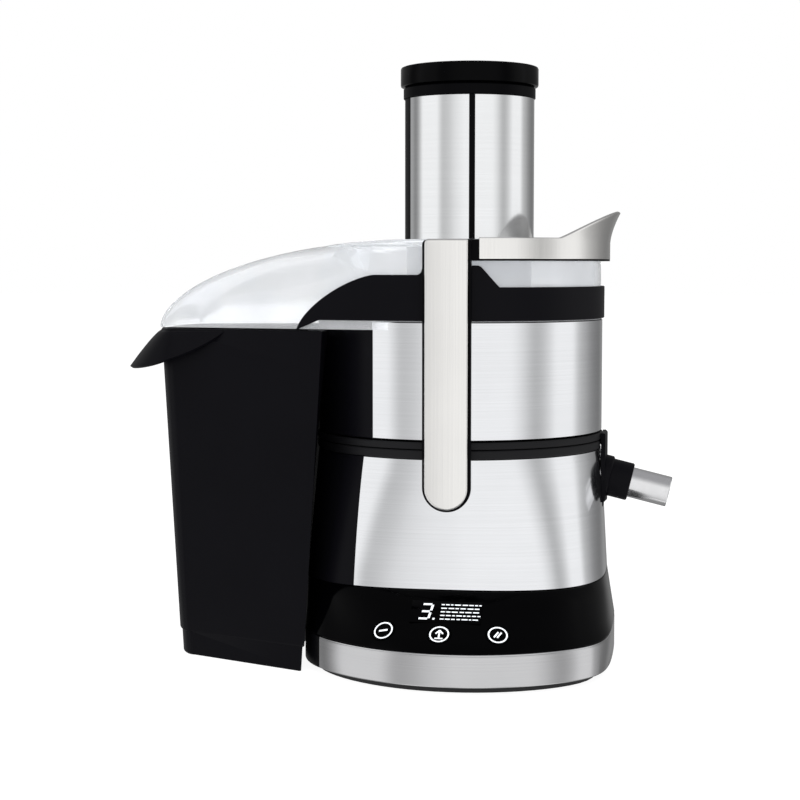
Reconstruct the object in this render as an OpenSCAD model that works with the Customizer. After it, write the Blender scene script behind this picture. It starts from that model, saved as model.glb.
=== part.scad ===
// Centrifugal juicer: motor base, lift-off bowl and basket, clear lid with feed chute,
// locking bail, pusher and pulp bin. Millimetres, +Z up, spindle on the Z axis,
// table at z = 0, control panel towards -Y, pulp bin towards -X, juice spout towards +X.

/* [Base] */
// Radius of the base's curved front
base_front_r = 119; // [112:1:130]
// Sideways place of the curved front's centre
base_front_x = 9; // [0:1:12]
// Distance of the curved front's centre in front of the spindle
base_front_y = 20; // [14:1:26]
// Distance of the base's spout side from the spindle
base_right = 109.5; // [104:0.5:118]
// Distance of the base's bin side from the spindle
base_left = 104; // [103:0.5:106]
// Distance of the base's back from the spindle
base_back = 105; // [100:0.5:120]
// Height of the rubber foot ring, which is the gap under the base
foot_h = 5; // [4:0.5:8]
// Width of the rubber foot ring
foot_w = 9; // [6:0.5:14]
// Distance of the foot ring in from the edge of the base
foot_inset = 9; // [6:0.5:12]
// Height of the steel skirt's top edge
skirt_top = 26; // [22:0.5:32]
// Half angle of the steel skirt, measured from the spout side
skirt_half = 130; // [120:1:140]
// Thickness of the steel skirt
skirt_t = 1.5; // [1:0.1:2]
// Wall of the base tray and of the control panel
tray_wall = 3; // [2:0.1:4]
// Thickness of the bottom plate
plate_t = 3; // [2:0.1:4]
// Radius of the screws in the bottom plate
screw_r = 1.8; // [1.4:0.1:2.4]
// Bore radius of the mains cord gland
gland_bore_r = 3.7; // [3:0.1:4.5]

/* [Controls] */
// Radius of a push button
button_r = 7.6; // [6:0.1:9]
// Sideways distance between neighbouring buttons
button_pitch = 37; // [30:1:42]
// Sideways place of the middle button
button_x = 2.5; // [0:0.5:8]
// Travel of a push button
button_travel = 1; // [0.6:0.1:1.5]
// Width of the display window
window_w = 46; // [36:1:50]
// Sideways place of the display window
window_x = 5; // [0:0.5:8]
// Height of the display window along the slope
window_h = 18; // [14:1:20]

/* [Motor housing] */
// Height where the sloped panel meets the lower housing
housing_z0 = 59.5; // [54:0.5:66]
// Height of the lower housing's top edge
housing_z1 = 145; // [136:1:156]
// Half width of the lower housing at its foot
housing_hw = 103; // [99:0.5:104]
// Half depth of the lower housing at its foot
housing_hd = 98; // [94:0.5:104]
// Squareness of the lower housing's foot, where 2 is an ellipse
housing_square = 3; // [2.2:0.1:4]
// Thickness of the steel housing shell
shell_t = 1.5; // [1:0.1:2]
// Wall of the plastic liner behind the shell
liner_t = 2.5; // [2:0.1:3.5]
// Half angle of the housing's steel wrap, measured from the spout side
wrap_half = 123; // [115:1:140]
// Radius of the bail's pivot pins
pin_r = 5; // [4:0.1:6]
// Height of the bail's pivot axis
pivot_z = 127.5; // [118:0.5:132]
// Sideways place of the bail's pivot axis and of its arms
bail_x = 4; // [-4:0.5:8]

/* [Motor] */
// Radius of the motor shaft
shaft_r = 4; // [3:0.1:5]
// Running clearance of the shaft in its bearings
shaft_fit = 0.05; // [0.02:0.01:0.1]
// Outer radius of a bearing
bearing_r = 11; // [10:0.5:13]
// Width of a bearing
bearing_w = 7; // [5:0.5:9]
// Radius of the armature
armature_r = 24; // [20:1:28]
// Air gap between the armature and the stator
air_gap = 0.8; // [0.5:0.1:1.5]
// Outer radius of the stator
stator_r = 40; // [38:1:42]
// Length of the stator stack
stack_h = 36; // [28:1:38]
// Radius of the drive coupling
coupling_r = 15; // [12:0.5:17]

/* [Bowl] */
// Outer radius of the drum
drum_r = 98.7; // [92:0.1:99]
// Half angle of the drum's steel sleeve, measured from the spout side
sleeve_wrap = 118.5; // [110:0.5:135]
// Height of the drum's top edge
drum_z1 = 234; // [220:1:250]
// Height of the black seam ring pair
seam_h = 12; // [9:0.5:15]
// How far the seam rings stand out of the drum
seam_out = 1; // [0.5:0.1:2]
// Wall of the plastic bowl
bowl_wall = 2.5; // [2:0.1:3]
// Radius of the part of the bowl that nests in the housing
nest_r = 92; // [88:0.5:93]
// Outer radius of the spout tube
spout_r = 10.5; // [9:0.1:12]
// Wall of the spout tube
spout_wall = 1.2; // [0.8:0.1:2]
// Angle of the spout below level
spout_drop = 13.5; // [8:0.5:18]
// Length of the spout tube
spout_len = 57; // [48:1:70]

/* [Basket] */
// Inner radius of the basket at the grating disc
basket_r0 = 52; // [46:1:56]
// Inner radius of the basket at its rim
basket_r1 = 80; // [74:1:82]
// Height of the basket's floor
basket_z0 = 150; // [146:1:154]
// Height of the basket's rim
basket_z1 = 226; // [215:1:228]
// Wall of the basket
basket_wall = 1.2; // [0.8:0.1:2]

/* [Lid] */
// Outer radius of the lid's black rim
lid_r = 100; // [94:0.1:100.4]
// Height of the black rim's top edge on the spout side
rim_z1 = 256.5; // [250:0.5:262]
// Height of the black rim's raised edge on the bin side
rim_z2 = 264.5; // [260:0.5:268]
// Height of the clear lid's flat top
lid_top = 287.5; // [280:0.5:292]
// Distance of the clear dome's tip from the spindle
dome_x = 209; // [196:1:214]
// Sideways place of the feed chute
chute_x = 6; // [0:0.5:8]
// Bore radius of the feed chute
chute_bore_r = 39.5; // [36:0.1:41]
// Outer radius of the steel chute sleeve
chute_r = 44.8; // [43.5:0.1:46]
// Height of the chute's mouth
chute_top = 392.5; // [370:0.5:410]
// Height of the chute's lower end inside the basket
chute_z0 = 186; // [180:1:200]
// Wall of the clear lid
lid_wall = 2.5; // [2:0.1:3.5]

/* [Pusher] */
// Clearance between the pusher and the chute
pusher_gap = 0.6; // [0.3:0.1:1.2]
// Outer radius of the pusher's cap
cap_r = 47.6; // [46:0.1:50]
// Height of the pusher's cap
cap_h = 13.5; // [10:0.5:18]
// Wall of the hollow pusher
pusher_wall = 2.5; // [2:0.1:3.5]
// Height of the pusher's lower end
pusher_z0 = 206; // [200:1:230]

/* [Bail] */
// Width of a steel arm cover
arm_w = 28; // [22:0.5:32]
// Thickness of a steel arm cover
arm_t = 3.6; // [2.5:0.1:5]
// Thickness of the black arm core
core_t = 4; // [3:0.1:5]
// How far the black core shows beside the cover
core_edge = 1.8; // [1:0.1:3]
// Clearance between the lid's rim and the bail's core
bail_gap = 1.8; // [1:0.1:3]
// Height of the curved band
band_h = 13.8; // [10:0.2:18]
// Thickness of the curved band
band_t = 2.7; // [1.8:0.1:4]
// Height of the thumb lip's tip
lip_z = 308; // [298:1:314]

/* [Pulp bin] */
// Height of the bin's rim
bin_h = 227.5; // [212:0.5:231]
// Wall of the bin
bin_wall = 2.6; // [2:0.1:3.5]
// Gap between the bin's hollow side and the drum
bin_gap = 5; // [4:0.5:8]
// Height of the stepped foot
bin_foot = 18; // [12:1:24]
// How far the handle lip reaches past the bin's nose
lip_reach = 26; // [16:1:30]
// How far the handle lip drops
lip_drop = 29; // [20:1:34]

/* [Hidden] */
$fn = 96;

// Colours
black = "#17181b";
gloss = "#050506";
steel = "#c3c5c8";
satin = "#d2d0cb";
rubber = "#202022";
clear_plastic = [0.85, 0.9, 0.95, 0.4];
copper = "#a8602c";
iron = "#6d7176";
board = "#1f5a35";
white = "#e9ecef";

// Common clearances
gap = 0.1;          // between pieces that stay together
apart = 0.35;       // between pieces that move past each other
cut = 1;            // how far a cutter runs past a face
far = 400;          // longer than the whole juicer

// Number of points round a lofted section
sides = 90;
function heading(i) = 360 * (i + 0.5) / sides;

function mix(a, b, t) = a + (b - a) * t;

// Distance from the spindle to an oval of half sizes a and b, square for a large power
function oval(t, a, b, power) =
    pow(pow(abs(cos(t)) / a, power) + pow(abs(sin(t)) / b, power), -1 / power);
// Distance to the base's edge: a curved front, two sides, a back and rounded corners
corner_power = 16;
function front_arc(t) =
    let (along = base_front_x * cos(t) - base_front_y * sin(t))
    along + sqrt(along * along + base_front_r * base_front_r
        - base_front_x * base_front_x - base_front_y * base_front_y);
function rear_left(t) = t > 90 && t < 180 ? 1 / (base_left + 1) : 0;
function base_edge(t) =
    pow(
        pow(1 / front_arc(t), corner_power)
            + pow(max(0, cos(t)) / base_right, corner_power)
            + pow(max(0, -cos(t)) / base_left, corner_power)
            + pow(max(0, sin(t)) / base_back, corner_power)
            + pow(rear_left(t), corner_power),
        -1 / corner_power
    );
function housing_edge(t, s) =
    oval(t, mix(housing_hw, drum_r, s), mix(housing_hd, drum_r, s), mix(housing_square, 2, s));

// A section is a list of distances from the spindle, one for each heading
base_section = [for (i = [0:sides - 1]) base_edge(heading(i))];
housing_section = [for (i = [0:sides - 1]) housing_edge(heading(i), 0)];
function outline(section, grow = 0) =
    [for (i = [0:sides - 1]) (section[i] + grow) * [cos(heading(i)), sin(heading(i))]];

// Rings of points at the levels [z, section, grow], lowest first
function rings_at(levels) =
    [for (k = levels) [for (p = outline(k[1], k[2])) [p[0], p[1], k[0]]]];

// Triangles between rings a and b of the point list, n points each, facing outwards
function strip(a, b, n) = [
    for (i = [0:n - 1])
        let (j = (i + 1) % n)
        each [[a + i, b + i, b + j], [a + i, b + j, a + j]]
];

// Solid through rings of equally many points, lowest first, each counter-clockwise from above.
// caps lists the index polygons that close a ring.
module loft_rings(rings, caps) {
    n = len(rings[0]);
    top = (len(rings) - 1) * n;
    walls = [for (k = [0:len(rings) - 2]) each strip(k * n, k * n + n, n)];
    roof = [for (e = caps) [for (i = [len(e) - 1:-1:0]) top + e[i]]];
    polyhedron(points = [for (r = rings, p = r) p], faces = concat(caps, walls, roof));
}

// Closed wall between outer rings and inner rings at the same heights, lowest first
module loft_wall(outer, inner) {
    n = len(outer[0]);
    m = len(outer);
    from = m * n;
    out_faces = [for (k = [0:m - 2]) each strip(k * n, k * n + n, n)];
    in_faces = [for (k = [0:m - 2]) each strip(from + k * n + n, from + k * n, n)];
    polyhedron(
        points = [for (r = concat(outer, inner), p = r) p],
        faces = concat(out_faces, in_faces, strip(from, 0, n), strip(from - n, 2 * from - n, n))
    );
}

// Wall between two outlines of one section
module band(section, z0, z1, grow_out, grow_in) {
    translate([0, 0, z0])
        linear_extrude(z1 - z0)
            difference() {
                polygon(outline(section, grow_out));
                polygon(outline(section, grow_in));
            }
}

// Pie slice from angle a0 to a1 about the spindle, used as a cutter
module slice(a0, a1, z0 = -cut, z1 = far) {
    steps = ceil((a1 - a0) / 30);
    arc = [for (i = [0:steps]) let (t = mix(a0, a1, i / steps)) [far * cos(t), far * sin(t)]];
    translate([0, 0, z0])
        linear_extrude(z1 - z0)
            polygon(concat([[0, 0]], arc));
}

module ring(r_out, r_in, z0, z1) {
    rotate_extrude()
        translate([r_in, z0])
            square([r_out - r_in, z1 - z0]);
}

module arc_ring(r_out, r_in, z0, z1, a0, a1) {
    rotate([0, 0, a0])
        rotate_extrude(angle = a1 - a0)
            translate([r_in, z0])
                square([r_out - r_in, z1 - z0]);
}

module disc(r, z0, z1) {
    translate([0, 0, z0])
        cylinder(r = r, h = z1 - z0);
}

// The four corner places of the base, for screws and posts
post_front = -62;
post_back = 60;
post_places = [[-54, post_front], [62, post_front], [-54, post_back], [66, post_back]];
module at_posts() {
    for (p = post_places)
        translate([p[0], p[1], 0])
            children();
}

// ---------------------------------------------------------------- sloped panel

panel_z0 = skirt_top + 0.3;
panel_z1 = housing_z0 - 0.3;
panel_rise = panel_z1 - panel_z0;
button_depth = 6;

// Point of the sloped face at heading t and a share f of its height
function slope_reach(t, f) = mix(base_edge(t), housing_edge(t, 0), f);
function slope_point(t, f) =
    [slope_reach(t, f) * cos(t), slope_reach(t, f) * sin(t), panel_z0 + panel_rise * f];
// Heading of the face's outward direction, which differs a little from t
function slope_facing(t, f) =
    let (a = slope_point(t - 1, f), b = slope_point(t + 1, f)) atan2(b[1] - a[1], b[0] - a[0]) - 90;
// Tilt of the face from level
function slope_tilt(t) =
    let (a = slope_point(t, 0), b = slope_point(t, 1), n = slope_facing(t, 0.5))
    atan2(panel_rise, (a[0] - b[0]) * cos(n) + (a[1] - b[1]) * sin(n));
// Heading at which the face has the sideways place x
function heading_at(x, f, t = -90, turns = 6) =
    turns == 0 ? t : heading_at(x, f, -acos(x / slope_reach(t, f)), turns - 1);

// Places children with +Z out of the sloped face at the sideways place x
module on_slope(x, f) {
    t = heading_at(x, f);
    translate(slope_point(t, f))
        rotate([0, slope_tilt(t), slope_facing(t, f)])
            children();
}
button_share = 0.3;
module at_button(side) {
    on_slope(button_x + side * button_pitch, button_share)
        children();
}
window_share = 0.66;
module at_window() {
    on_slope(window_x, window_share)
        children();
}

module control_panel() {
    color(gloss)
        difference() {
            loft_wall(
                rings_at([[panel_z0, base_section, 0], [panel_z1, housing_section, 0]]),
                rings_at([
                    [panel_z0, base_section, -tray_wall - 1], [panel_z1, housing_section, -tray_wall]
                ])
            );
            for (side = [-1:1])
                at_button(side)
                    cylinder(r = button_r + apart, h = 30, center = true);
            at_window()
                cube([window_h + 2 * gap, window_w + 2 * gap, 30], center = true);
        }
}

module display_window() {
    color(gloss)
        at_window()
            translate([0, 0, -1.2])
                cube([window_h, window_w, 2.4], center = true);
}

module display_board() {
    color(board)
        at_window()
            translate([0, 0, -11])
                difference() {
                    cube([window_h + 4, window_w - 4, 1.6], center = true);
                    for (x = [-1, 1], y = [-1, 1])
                        translate([x * (window_h / 2 - 1), y * (window_w / 2 - 5), 0])
                            cylinder(r = 1.2, h = 5, center = true, $fn = 24);
                }
    color(white)
        at_window()
            translate([0, 0, -6.6])
                cube([14, 38, 7.2], center = true);
}

module button_boards() {
    for (side = [-1:1])
        at_button(side) {
            color(board)
                translate([0, 0, -button_depth - 6.4])
                    cube([13, 20, 1.6], center = true);
            color(black)
                translate([0, 0, -button_depth - 3.6])
                    cube([7, 7, 4], center = true);
        }
}

module button(side) {
    color(gloss)
        at_button(side)
            union() {
                translate([0, 0, -button_depth + 2])
                    cylinder(r = button_r, h = button_depth - 1.6);
                translate([0, 0, -button_depth + button_travel - 1.6 + gap])
                    cylinder(r = 2, h = 4);
            }
}
module button_left() { button(-1); }
module button_middle() { button(0); }
module button_right() { button(1); }

// ---------------------------------------------------------------- base

screw_head_r = 2 * screw_r;
screw_head_h = 2;

module foot_ring() {
    color(rubber)
        difference() {
            band(base_section, 0, foot_h, -foot_inset, -foot_inset - foot_w);
            at_posts()
                disc(screw_head_r + gap, foot_h - screw_head_h - gap, foot_h + cut);
        }
}

plate_z1 = foot_h + plate_t;
tray_out = skirt_t + gap;

module base_plate() {
    color(black)
        difference() {
            translate([0, 0, foot_h])
                linear_extrude(plate_t)
                    polygon(outline(base_section, -tray_out - tray_wall - gap));
            at_posts()
                disc(screw_r + gap, 0, plate_z1 + cut);
            for (i = [-4:4])
                translate([i * 9, 0, foot_h + plate_t / 2])
                    cube([4, 64, plate_t + 2 * cut], center = true);
        }
}

module base_screws() {
    color(steel)
        at_posts() {
            disc(screw_head_r, foot_h - screw_head_h, foot_h);
            disc(screw_r, foot_h, skirt_top);
        }
}

gland_z = 16;
gland_y = base_edge(90);
module gland_hole(r) {
    translate([0, gland_y, gland_z])
        rotate([90, 0, 0])
            cylinder(r = r, h = 40, center = true);
}
gland_r = gland_bore_r + 2.2;

module base_tray() {
    color(black)
        difference() {
            union() {
                band(base_section, foot_h, skirt_top, -tray_out, -tray_out - tray_wall);
                at_posts()
                    disc(screw_r + 3.4, plate_z1 + gap, housing_z0 - 3 - gap);
                // cross ribs that carry the posts
                intersection() {
                    translate([0, 0, plate_z1 + gap])
                        linear_extrude(skirt_top - plate_z1 - 3)
                            polygon(outline(base_section, -tray_out - 1));
                    for (y = [post_front, post_back])
                        translate([-far, y - 1, 0])
                            cube([2 * far, 2, far]);
                }
                // full-depth wall on the bin side, where no steel shows
                intersection() {
                    band(base_section, foot_h, skirt_top, 0, -tray_out - 0.5);
                    slice(skirt_half + 0.2, 360 - skirt_half - 0.2);
                }
            }
            at_posts()
                disc(screw_r + gap, 0, skirt_top + gap);
            gland_hole(gland_r + gap);
        }
}

module base_skirt() {
    color(steel)
        difference() {
            band(base_section, foot_h, skirt_top, 0, -skirt_t);
            slice(skirt_half, 360 - skirt_half);
            gland_hole(gland_r + gap);
        }
}

module cord_gland() {
    color(rubber)
        translate([0, gland_y, gland_z])
            rotate([-90, 0, 0])
                rotate_extrude()
                    polygon([
                        [gland_bore_r, -7], [gland_r, -7], [gland_r, 0.8],
                        [gland_r + 2.5, 0.8], [gland_r + 2, 4], [gland_bore_r, 4]
                    ]);
}

module motor_frame() {
    color(black)
        difference() {
            translate([0, 0, housing_z0 - 3])
                linear_extrude(3)
                    polygon(outline(housing_section, -tray_wall - 1.5));
            disc(stator_r + 7, 0, housing_z0 + cut);
            for (t = [0:60:300])
                rotate([0, 0, t + 30])
                    translate([stator_r + 24, 0, housing_z0 - 3 - cut])
                        cylinder(r = 9, h = 3 + 2 * cut);
        }
}

// ---------------------------------------------------------------- lower housing

deck_z = 106;
deck_t = 3;
housing_h = housing_z1 - housing_z0;
gasket_z1 = housing_z1 + seam_h / 2 - gap;
spout_z = 127.8;
spout_x = 90;
flange_half = 15;
notch_z0 = deck_z - 1;

function housing_at(z) =
    [for (i = [0:sides - 1]) housing_edge(heading(i), (z - housing_z0) / housing_h)];

// Wall that follows the housing from its square foot to its round top
wall_steps = 4;
module housing_wall(grow_out, grow_in) {
    levels = [for (k = [0:wall_steps]) mix(housing_z0, housing_z1, k / wall_steps)];
    loft_wall(
        rings_at([for (z = levels) [z, housing_at(z), grow_out]]),
        rings_at([for (z = levels) [z, housing_at(z), grow_in]])
    );
}
module spout_notch() {
    translate([50, -flange_half, notch_z0])
        cube([80, 2 * flange_half, far]);
}
module pin_holes(r, length = far) {
    translate([bail_x, 0, pivot_z])
        rotate([90, 0, 0])
            cylinder(r = r, h = length, center = true);
}
module rear_vents() {
    for (i = [0:4])
        translate([-28, 60, 74 + 7 * i])
            cube([56, 80, 3]);
}

module housing_shell() {
    color(steel)
        difference() {
            housing_wall(0, -shell_t);
            slice(wrap_half, 360 - wrap_half);
            spout_notch();
            pin_holes(pin_r + gap);
            rear_vents();
        }
}

module housing_side_panel() {
    color(black)
        intersection() {
            housing_wall(0, -shell_t);
            slice(wrap_half + 0.3, 360 - wrap_half - 0.3);
        }
}

liner_in = shell_t + 0.5;
pin_y0 = nest_r + 0.8;
pin_head_r = pin_r + 3;
pin_head_h = 1.6;

module housing_liner() {
    color(black)
        difference() {
            union() {
                housing_wall(-liner_in, -liner_in - liner_t);
                translate([0, 0, deck_z])
                    linear_extrude(deck_t)
                        polygon(outline(housing_at(deck_z), -liner_in - 1.3));
                disc(shaft_r + 8, deck_z + deck_t - gap, deck_z + deck_t + 2);
            }
            spout_notch();
            pin_holes(pin_r + gap);
            pin_holes(pin_head_r + gap, 2 * (pin_y0 + pin_head_h + gap));
            rear_vents();
            disc(shaft_r + 5, 0, far);
        }
}

module housing_gasket() {
    color(rubber)
        difference() {
            ring(drum_r + seam_out, nest_r + 1, housing_z1 + gap, gasket_z1);
            spout_notch();
        }
}

module bail_pins() {
    color(steel)
        for (s = [-1, 1])
            translate([bail_x, s * pin_y0, pivot_z])
                rotate([-s * 90, 0, 0]) {
                    cylinder(r = pin_r, h = core_y1 - 0.5 - pin_y0);
                    cylinder(r = pin_head_r, h = pin_head_h);
                }
}

module interlock_switch() {
    color(black)
        translate([bail_x - 26, 78, deck_z - 14])
            cube([20, 9, 13.9]);
    color(steel)
        translate([bail_x - 9, 82, deck_z - 18])
            cylinder(r = 1.5, h = 4);
}

module shaft_seal() {
    color(rubber)
        ring(shaft_r + 5 - gap, shaft_r + 0.1, deck_z, deck_z + deck_t + 2);
}

// ---------------------------------------------------------------- motor

lower_bearing_z = 14;
upper_bearing_z = 97;
bracket_r = stator_r + 8;
bolt_ring_r = stator_r + 4;
stack_z0 = 44;
stack_z1 = stack_z0 + stack_h;

module bearing(z) {
    color(steel)
        ring(bearing_r, shaft_r + shaft_fit, z, z + bearing_w);
}
module upper_bearing() { bearing(upper_bearing_z); }
module lower_bearing() { bearing(lower_bearing_z); }

module at_bolts() {
    for (t = [45:90:315])
        rotate([0, 0, t])
            translate([bolt_ring_r, 0, 0])
                children();
}

// Bearing bracket: a spoked plate with a seat for the bearing
module bracket(z, plate) {
    color(iron)
        difference() {
            union() {
                disc(bracket_r, z, z + plate);
                disc(bearing_r + 3, z, z + bearing_w + 1);
            }
            disc(bearing_r + 0.02, z + 1, far);
            disc(shaft_r + 2, 0, far);
            at_bolts()
                disc(2 + gap, 0, far);
            for (t = [0:90:270])
                rotate([0, 0, t])
                    translate([27, 0, z - cut])
                        cylinder(r = 8, h = plate + 2 * cut);
        }
}
module upper_bracket() { bracket(upper_bearing_z - 1, 3); }
module lower_bracket() { bracket(lower_bearing_z - 1, 3); }

module motor_bolts() {
    color(steel)
        at_bolts() {
            disc(2, lower_bearing_z - 3, upper_bearing_z + 4);
            disc(3.6, lower_bearing_z - 4, lower_bearing_z - 1);
            disc(3.6, upper_bearing_z + 2, upper_bearing_z + 4);
        }
}

module motor_mounts() {
    color(rubber)
        for (t = [0:90:270])
            rotate([0, 0, t])
                translate([bracket_r - 6, 0, 0])
                    disc(5, upper_bearing_z + 2, deck_z);
}

module stator_core() {
    color(iron)
        ring(stator_r, armature_r + air_gap, stack_z0, stack_z1);
}

module stator_windings() {
    color(copper)
        for (z = [stack_z0 - 7, stack_z1])
            rotate_extrude()
                translate([armature_r + 8, z + 3.5])
                    square([8, 7], center = true);
}

brush_z = 89.5;
module brush_holders() {
    color("#b08d4a")
        for (s = [0, 180])
            rotate([0, 0, s])
                difference() {
                    translate([14, -6, brush_z - 1.5])
                        cube([26, 12, 7.5 + 0.5]);
                    translate([13, -4 - gap, brush_z - gap])
                        cube([28, 8 + 2 * gap, 5 + 2 * gap]);
                }
}
module carbon_brushes() {
    color("#2b2b2d")
        for (s = [0, 180])
            rotate([0, 0, s])
                translate([11.1, -4, brush_z])
                    cube([20, 8, 5]);
}

coupling_z0 = deck_z + deck_t + 2.5;
coupling_z1 = coupling_z0 + 15;

module motor_shaft() {
    color(steel)
        disc(shaft_r, lower_bearing_z - 1, coupling_z1 - 3);
}
module armature() {
    color(iron)
        difference() {
            disc(armature_r, stack_z0, stack_z1);
            disc(shaft_r, 0, far);
            for (t = [0:30:330])
                rotate([0, 0, t])
                    translate([armature_r - 3, -1.2, stack_z0 - cut])
                        cube([5, 2.4, stack_h + 2 * cut]);
        }
}
module commutator() {
    color(copper)
        ring(11, shaft_r, 87, 95.5);
}
fan_z = 24;
module cooling_fan() {
    color(black)
        union() {
            ring(9, shaft_r, fan_z, fan_z + 11);
            ring(34, 8, fan_z, fan_z + 1.6);
            for (t = [0:30:330])
                rotate([0, 0, t])
                    translate([8, -0.8, fan_z + 1])
                        cube([25.5, 1.6, 9]);
        }
}
module drive_coupling() {
    color(black)
        difference() {
            union() {
                disc(coupling_r - 3, coupling_z0, coupling_z1);
                for (t = [0:45:315])
                    rotate([0, 0, t])
                        translate([0, -1.6, coupling_z0])
                            cube([coupling_r, 3.2, 15]);
            }
            disc(shaft_r, 0, coupling_z1 - 3);
        }
}

// ---------------------------------------------------------------- basket

hub_r = coupling_r + 4;
module basket_hub() {
    color(black)
        difference() {
            union() {
                disc(hub_r, coupling_z0 + 4, basket_z0);
                disc(basket_r0 - 12, basket_z0 - 5, basket_z0);
            }
            disc(coupling_r + apart, 0, coupling_z1 + apart);
        }
}

module filter_basket() {
    // floor disc, sloping sieve wall and turned-out rim
    color(steel)
        rotate_extrude()
            polygon([
                [8, basket_z0], [basket_r0 + basket_wall, basket_z0],
                [basket_r1 + basket_wall, basket_z1 - 2], [basket_r1 + 4, basket_z1 - 2],
                [basket_r1 + 4, basket_z1], [basket_r1, basket_z1],
                [basket_r0, basket_z0 + basket_wall], [8, basket_z0 + basket_wall]
            ]);
}

disc_z = basket_z0 + basket_wall;
module grater_disc() {
    color(steel)
        union() {
            disc(basket_r0 - 2, disc_z, disc_z + 1.2);
            disc(9, disc_z, disc_z + 4);
            for (r = [16:7:44], i = [0:11])
                rotate([0, 0, 30 * i + 11 * r])
                    translate([r, -0.5, disc_z + 1])
                        cube([3, 1, 2.4]);
        }
}

// ---------------------------------------------------------------- bowl

bowl_r = drum_r - 1.7;
bowl_z0 = deck_z + deck_t + 3;
bowl_top = drum_z1 - 0.5;
seam_z1 = housing_z1 + seam_h;
collar_r = hub_r + 6;

module along_spout() {
    translate([spout_x, 0, spout_z])
        rotate([0, 90 + spout_drop, 0])
            children();
}

module juice_bowl() {
    color(black)
        difference() {
            union() {
                rotate_extrude()
                    polygon([
                        [collar_r, bowl_z0], [nest_r, bowl_z0], [nest_r, seam_z1 - 1],
                        [bowl_r, seam_z1], [bowl_r, bowl_top], [bowl_r - bowl_wall, bowl_top],
                        [bowl_r - bowl_wall, seam_z1 + 2], [nest_r - bowl_wall, seam_z1 - 4],
                        [nest_r - bowl_wall, bowl_z0 + 4], [collar_r + bowl_wall, bowl_z0 + 7],
                        [collar_r + bowl_wall, bowl_z0 + 20], [collar_r, bowl_z0 + 20]
                    ]);
                arc_ring(drum_r, bowl_r - gap, seam_z1 + gap, drum_z1 - 0.2,
                    sleeve_wrap + 0.3, 360 - sleeve_wrap - 0.3);
            }
            along_spout()
                cylinder(r = spout_r + gap, h = 60, center = true);
        }
}

module bowl_sleeve() {
    color(steel)
        arc_ring(drum_r, bowl_r + gap, seam_z1 + gap, drum_z1 - 0.2, -sleeve_wrap, sleeve_wrap);
}

module bowl_seam_ring() {
    color(rubber)
        ring(drum_r + seam_out, nest_r + gap, housing_z1 + seam_h / 2 + 0.3, seam_z1 - 1);
}

module bowl_gasket() {
    color(rubber)
        ring(bowl_r - gap, bowl_r - bowl_wall + gap, bowl_top, drum_z1 + 0.4);
}

socket_r = spout_r + 2.6;
flange_r = drum_r + 4.4;
module spout_socket() {
    color(black)
        difference() {
            union() {
                along_spout()
                    translate([0, 0, 6])
                        cylinder(r = socket_r, h = 24);
                intersection() {
                    ring(flange_r, flange_r - 2, deck_z + 2, seam_z1 - 1);
                    translate([0, -flange_half + apart, 0])
                        cube([far, 2 * (flange_half - apart), far]);
                }
            }
            disc(nest_r + gap, 0, housing_z1 + seam_h);
            along_spout()
                cylinder(r = spout_r + gap, h = 60, center = true);
            disc(drum_r + seam_out + apart, housing_z1 - 4, far);
        }
}

module spout_tube() {
    color(steel)
        difference() {
            along_spout()
                cylinder(r = spout_r, h = spout_len);
            disc(nest_r - bowl_wall, 0, far);
            along_spout()
                translate([0, 0, -20])
                    cylinder(r = spout_r - spout_wall, h = spout_len + 40);
        }
}

// ---------------------------------------------------------------- lid

dome_z0 = bin_h + 1;
dome_rise = lid_top - dome_z0;
dome_start = 46;
dome_run = dome_x - dome_start;
crown_power = 1.8;
tail_r = 24;
tail_half = 58;

// Distance of the dome's end from the spindle at a share of its rise
function crown(f) = dome_start + dome_run * pow(1 - pow(f, crown_power), 1 / crown_power);
// Plan of the lid as four circles [x, y, r]: the drum and a tail that narrows as it rises
cover_r = drum_r - 1.2;
function lid_circles(r, x, narrow = 0) = [
    [0, 0, r], [0, 0, r],
    [-x + tail_r, -tail_half + tail_r + narrow, tail_r],
    [-x + tail_r, tail_half - tail_r - narrow, tail_r]
];
lid_sides = 72;
function reach(c, t) = c[0] * cos(t) + c[1] * sin(t) + c[2];
function farthest(circles, t) =
    let (r = [for (c = circles) reach(c, t)])
    [for (i = [0:3]) if (r[i] == max(r)) circles[i]][0];
function lid_outline(circles, grow = 0) = [
    for (i = [0:lid_sides - 1])
        let (t = 360 * (i + 0.5) / lid_sides, c = farthest(circles, t))
        [c[0] + (c[2] + grow) * cos(t), c[1] + (c[2] + grow) * sin(t)]
];
dome_levels = 8;
shoulder = 3.7;
nose_round = 26;
module dome(inset) {
    loft_rings([
        for (i = [0:dome_levels])
            let (
                f = sin(90 * i / dome_levels),
                circles = lid_circles(cover_r - shoulder * pow(f, 8), max(crown(f), 62),
                    22 * pow(f, 3))
            )
            [
                for (p = lid_outline(circles, -inset))
                [
                    max(p[0], inset - crown(f) + nose_round * pow(p[1] / cover_r, 2)),
                    p[1], dome_z0 + dome_rise * f
                ]
            ]
    ], [[for (i = [0:lid_sides - 1]) i]]);
}

lid_z0 = drum_z1 + 0.6;

module lid_cover() {
    color(clear_plastic)
        difference() {
            dome(0);
            translate([0, 0, -lid_wall])
                dome(lid_wall);
            translate([0, 0, dome_z0 - cut])
                linear_extrude(lid_wall)
                    polygon(lid_outline(lid_circles(cover_r, dome_x), -lid_wall));
            translate([chute_x, 0, 0])
                disc(chute_tube_r + gap, 0, far);
            // room for the drum's top
            disc(drum_r + 1, 0, lid_z0);
        }
}

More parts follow.
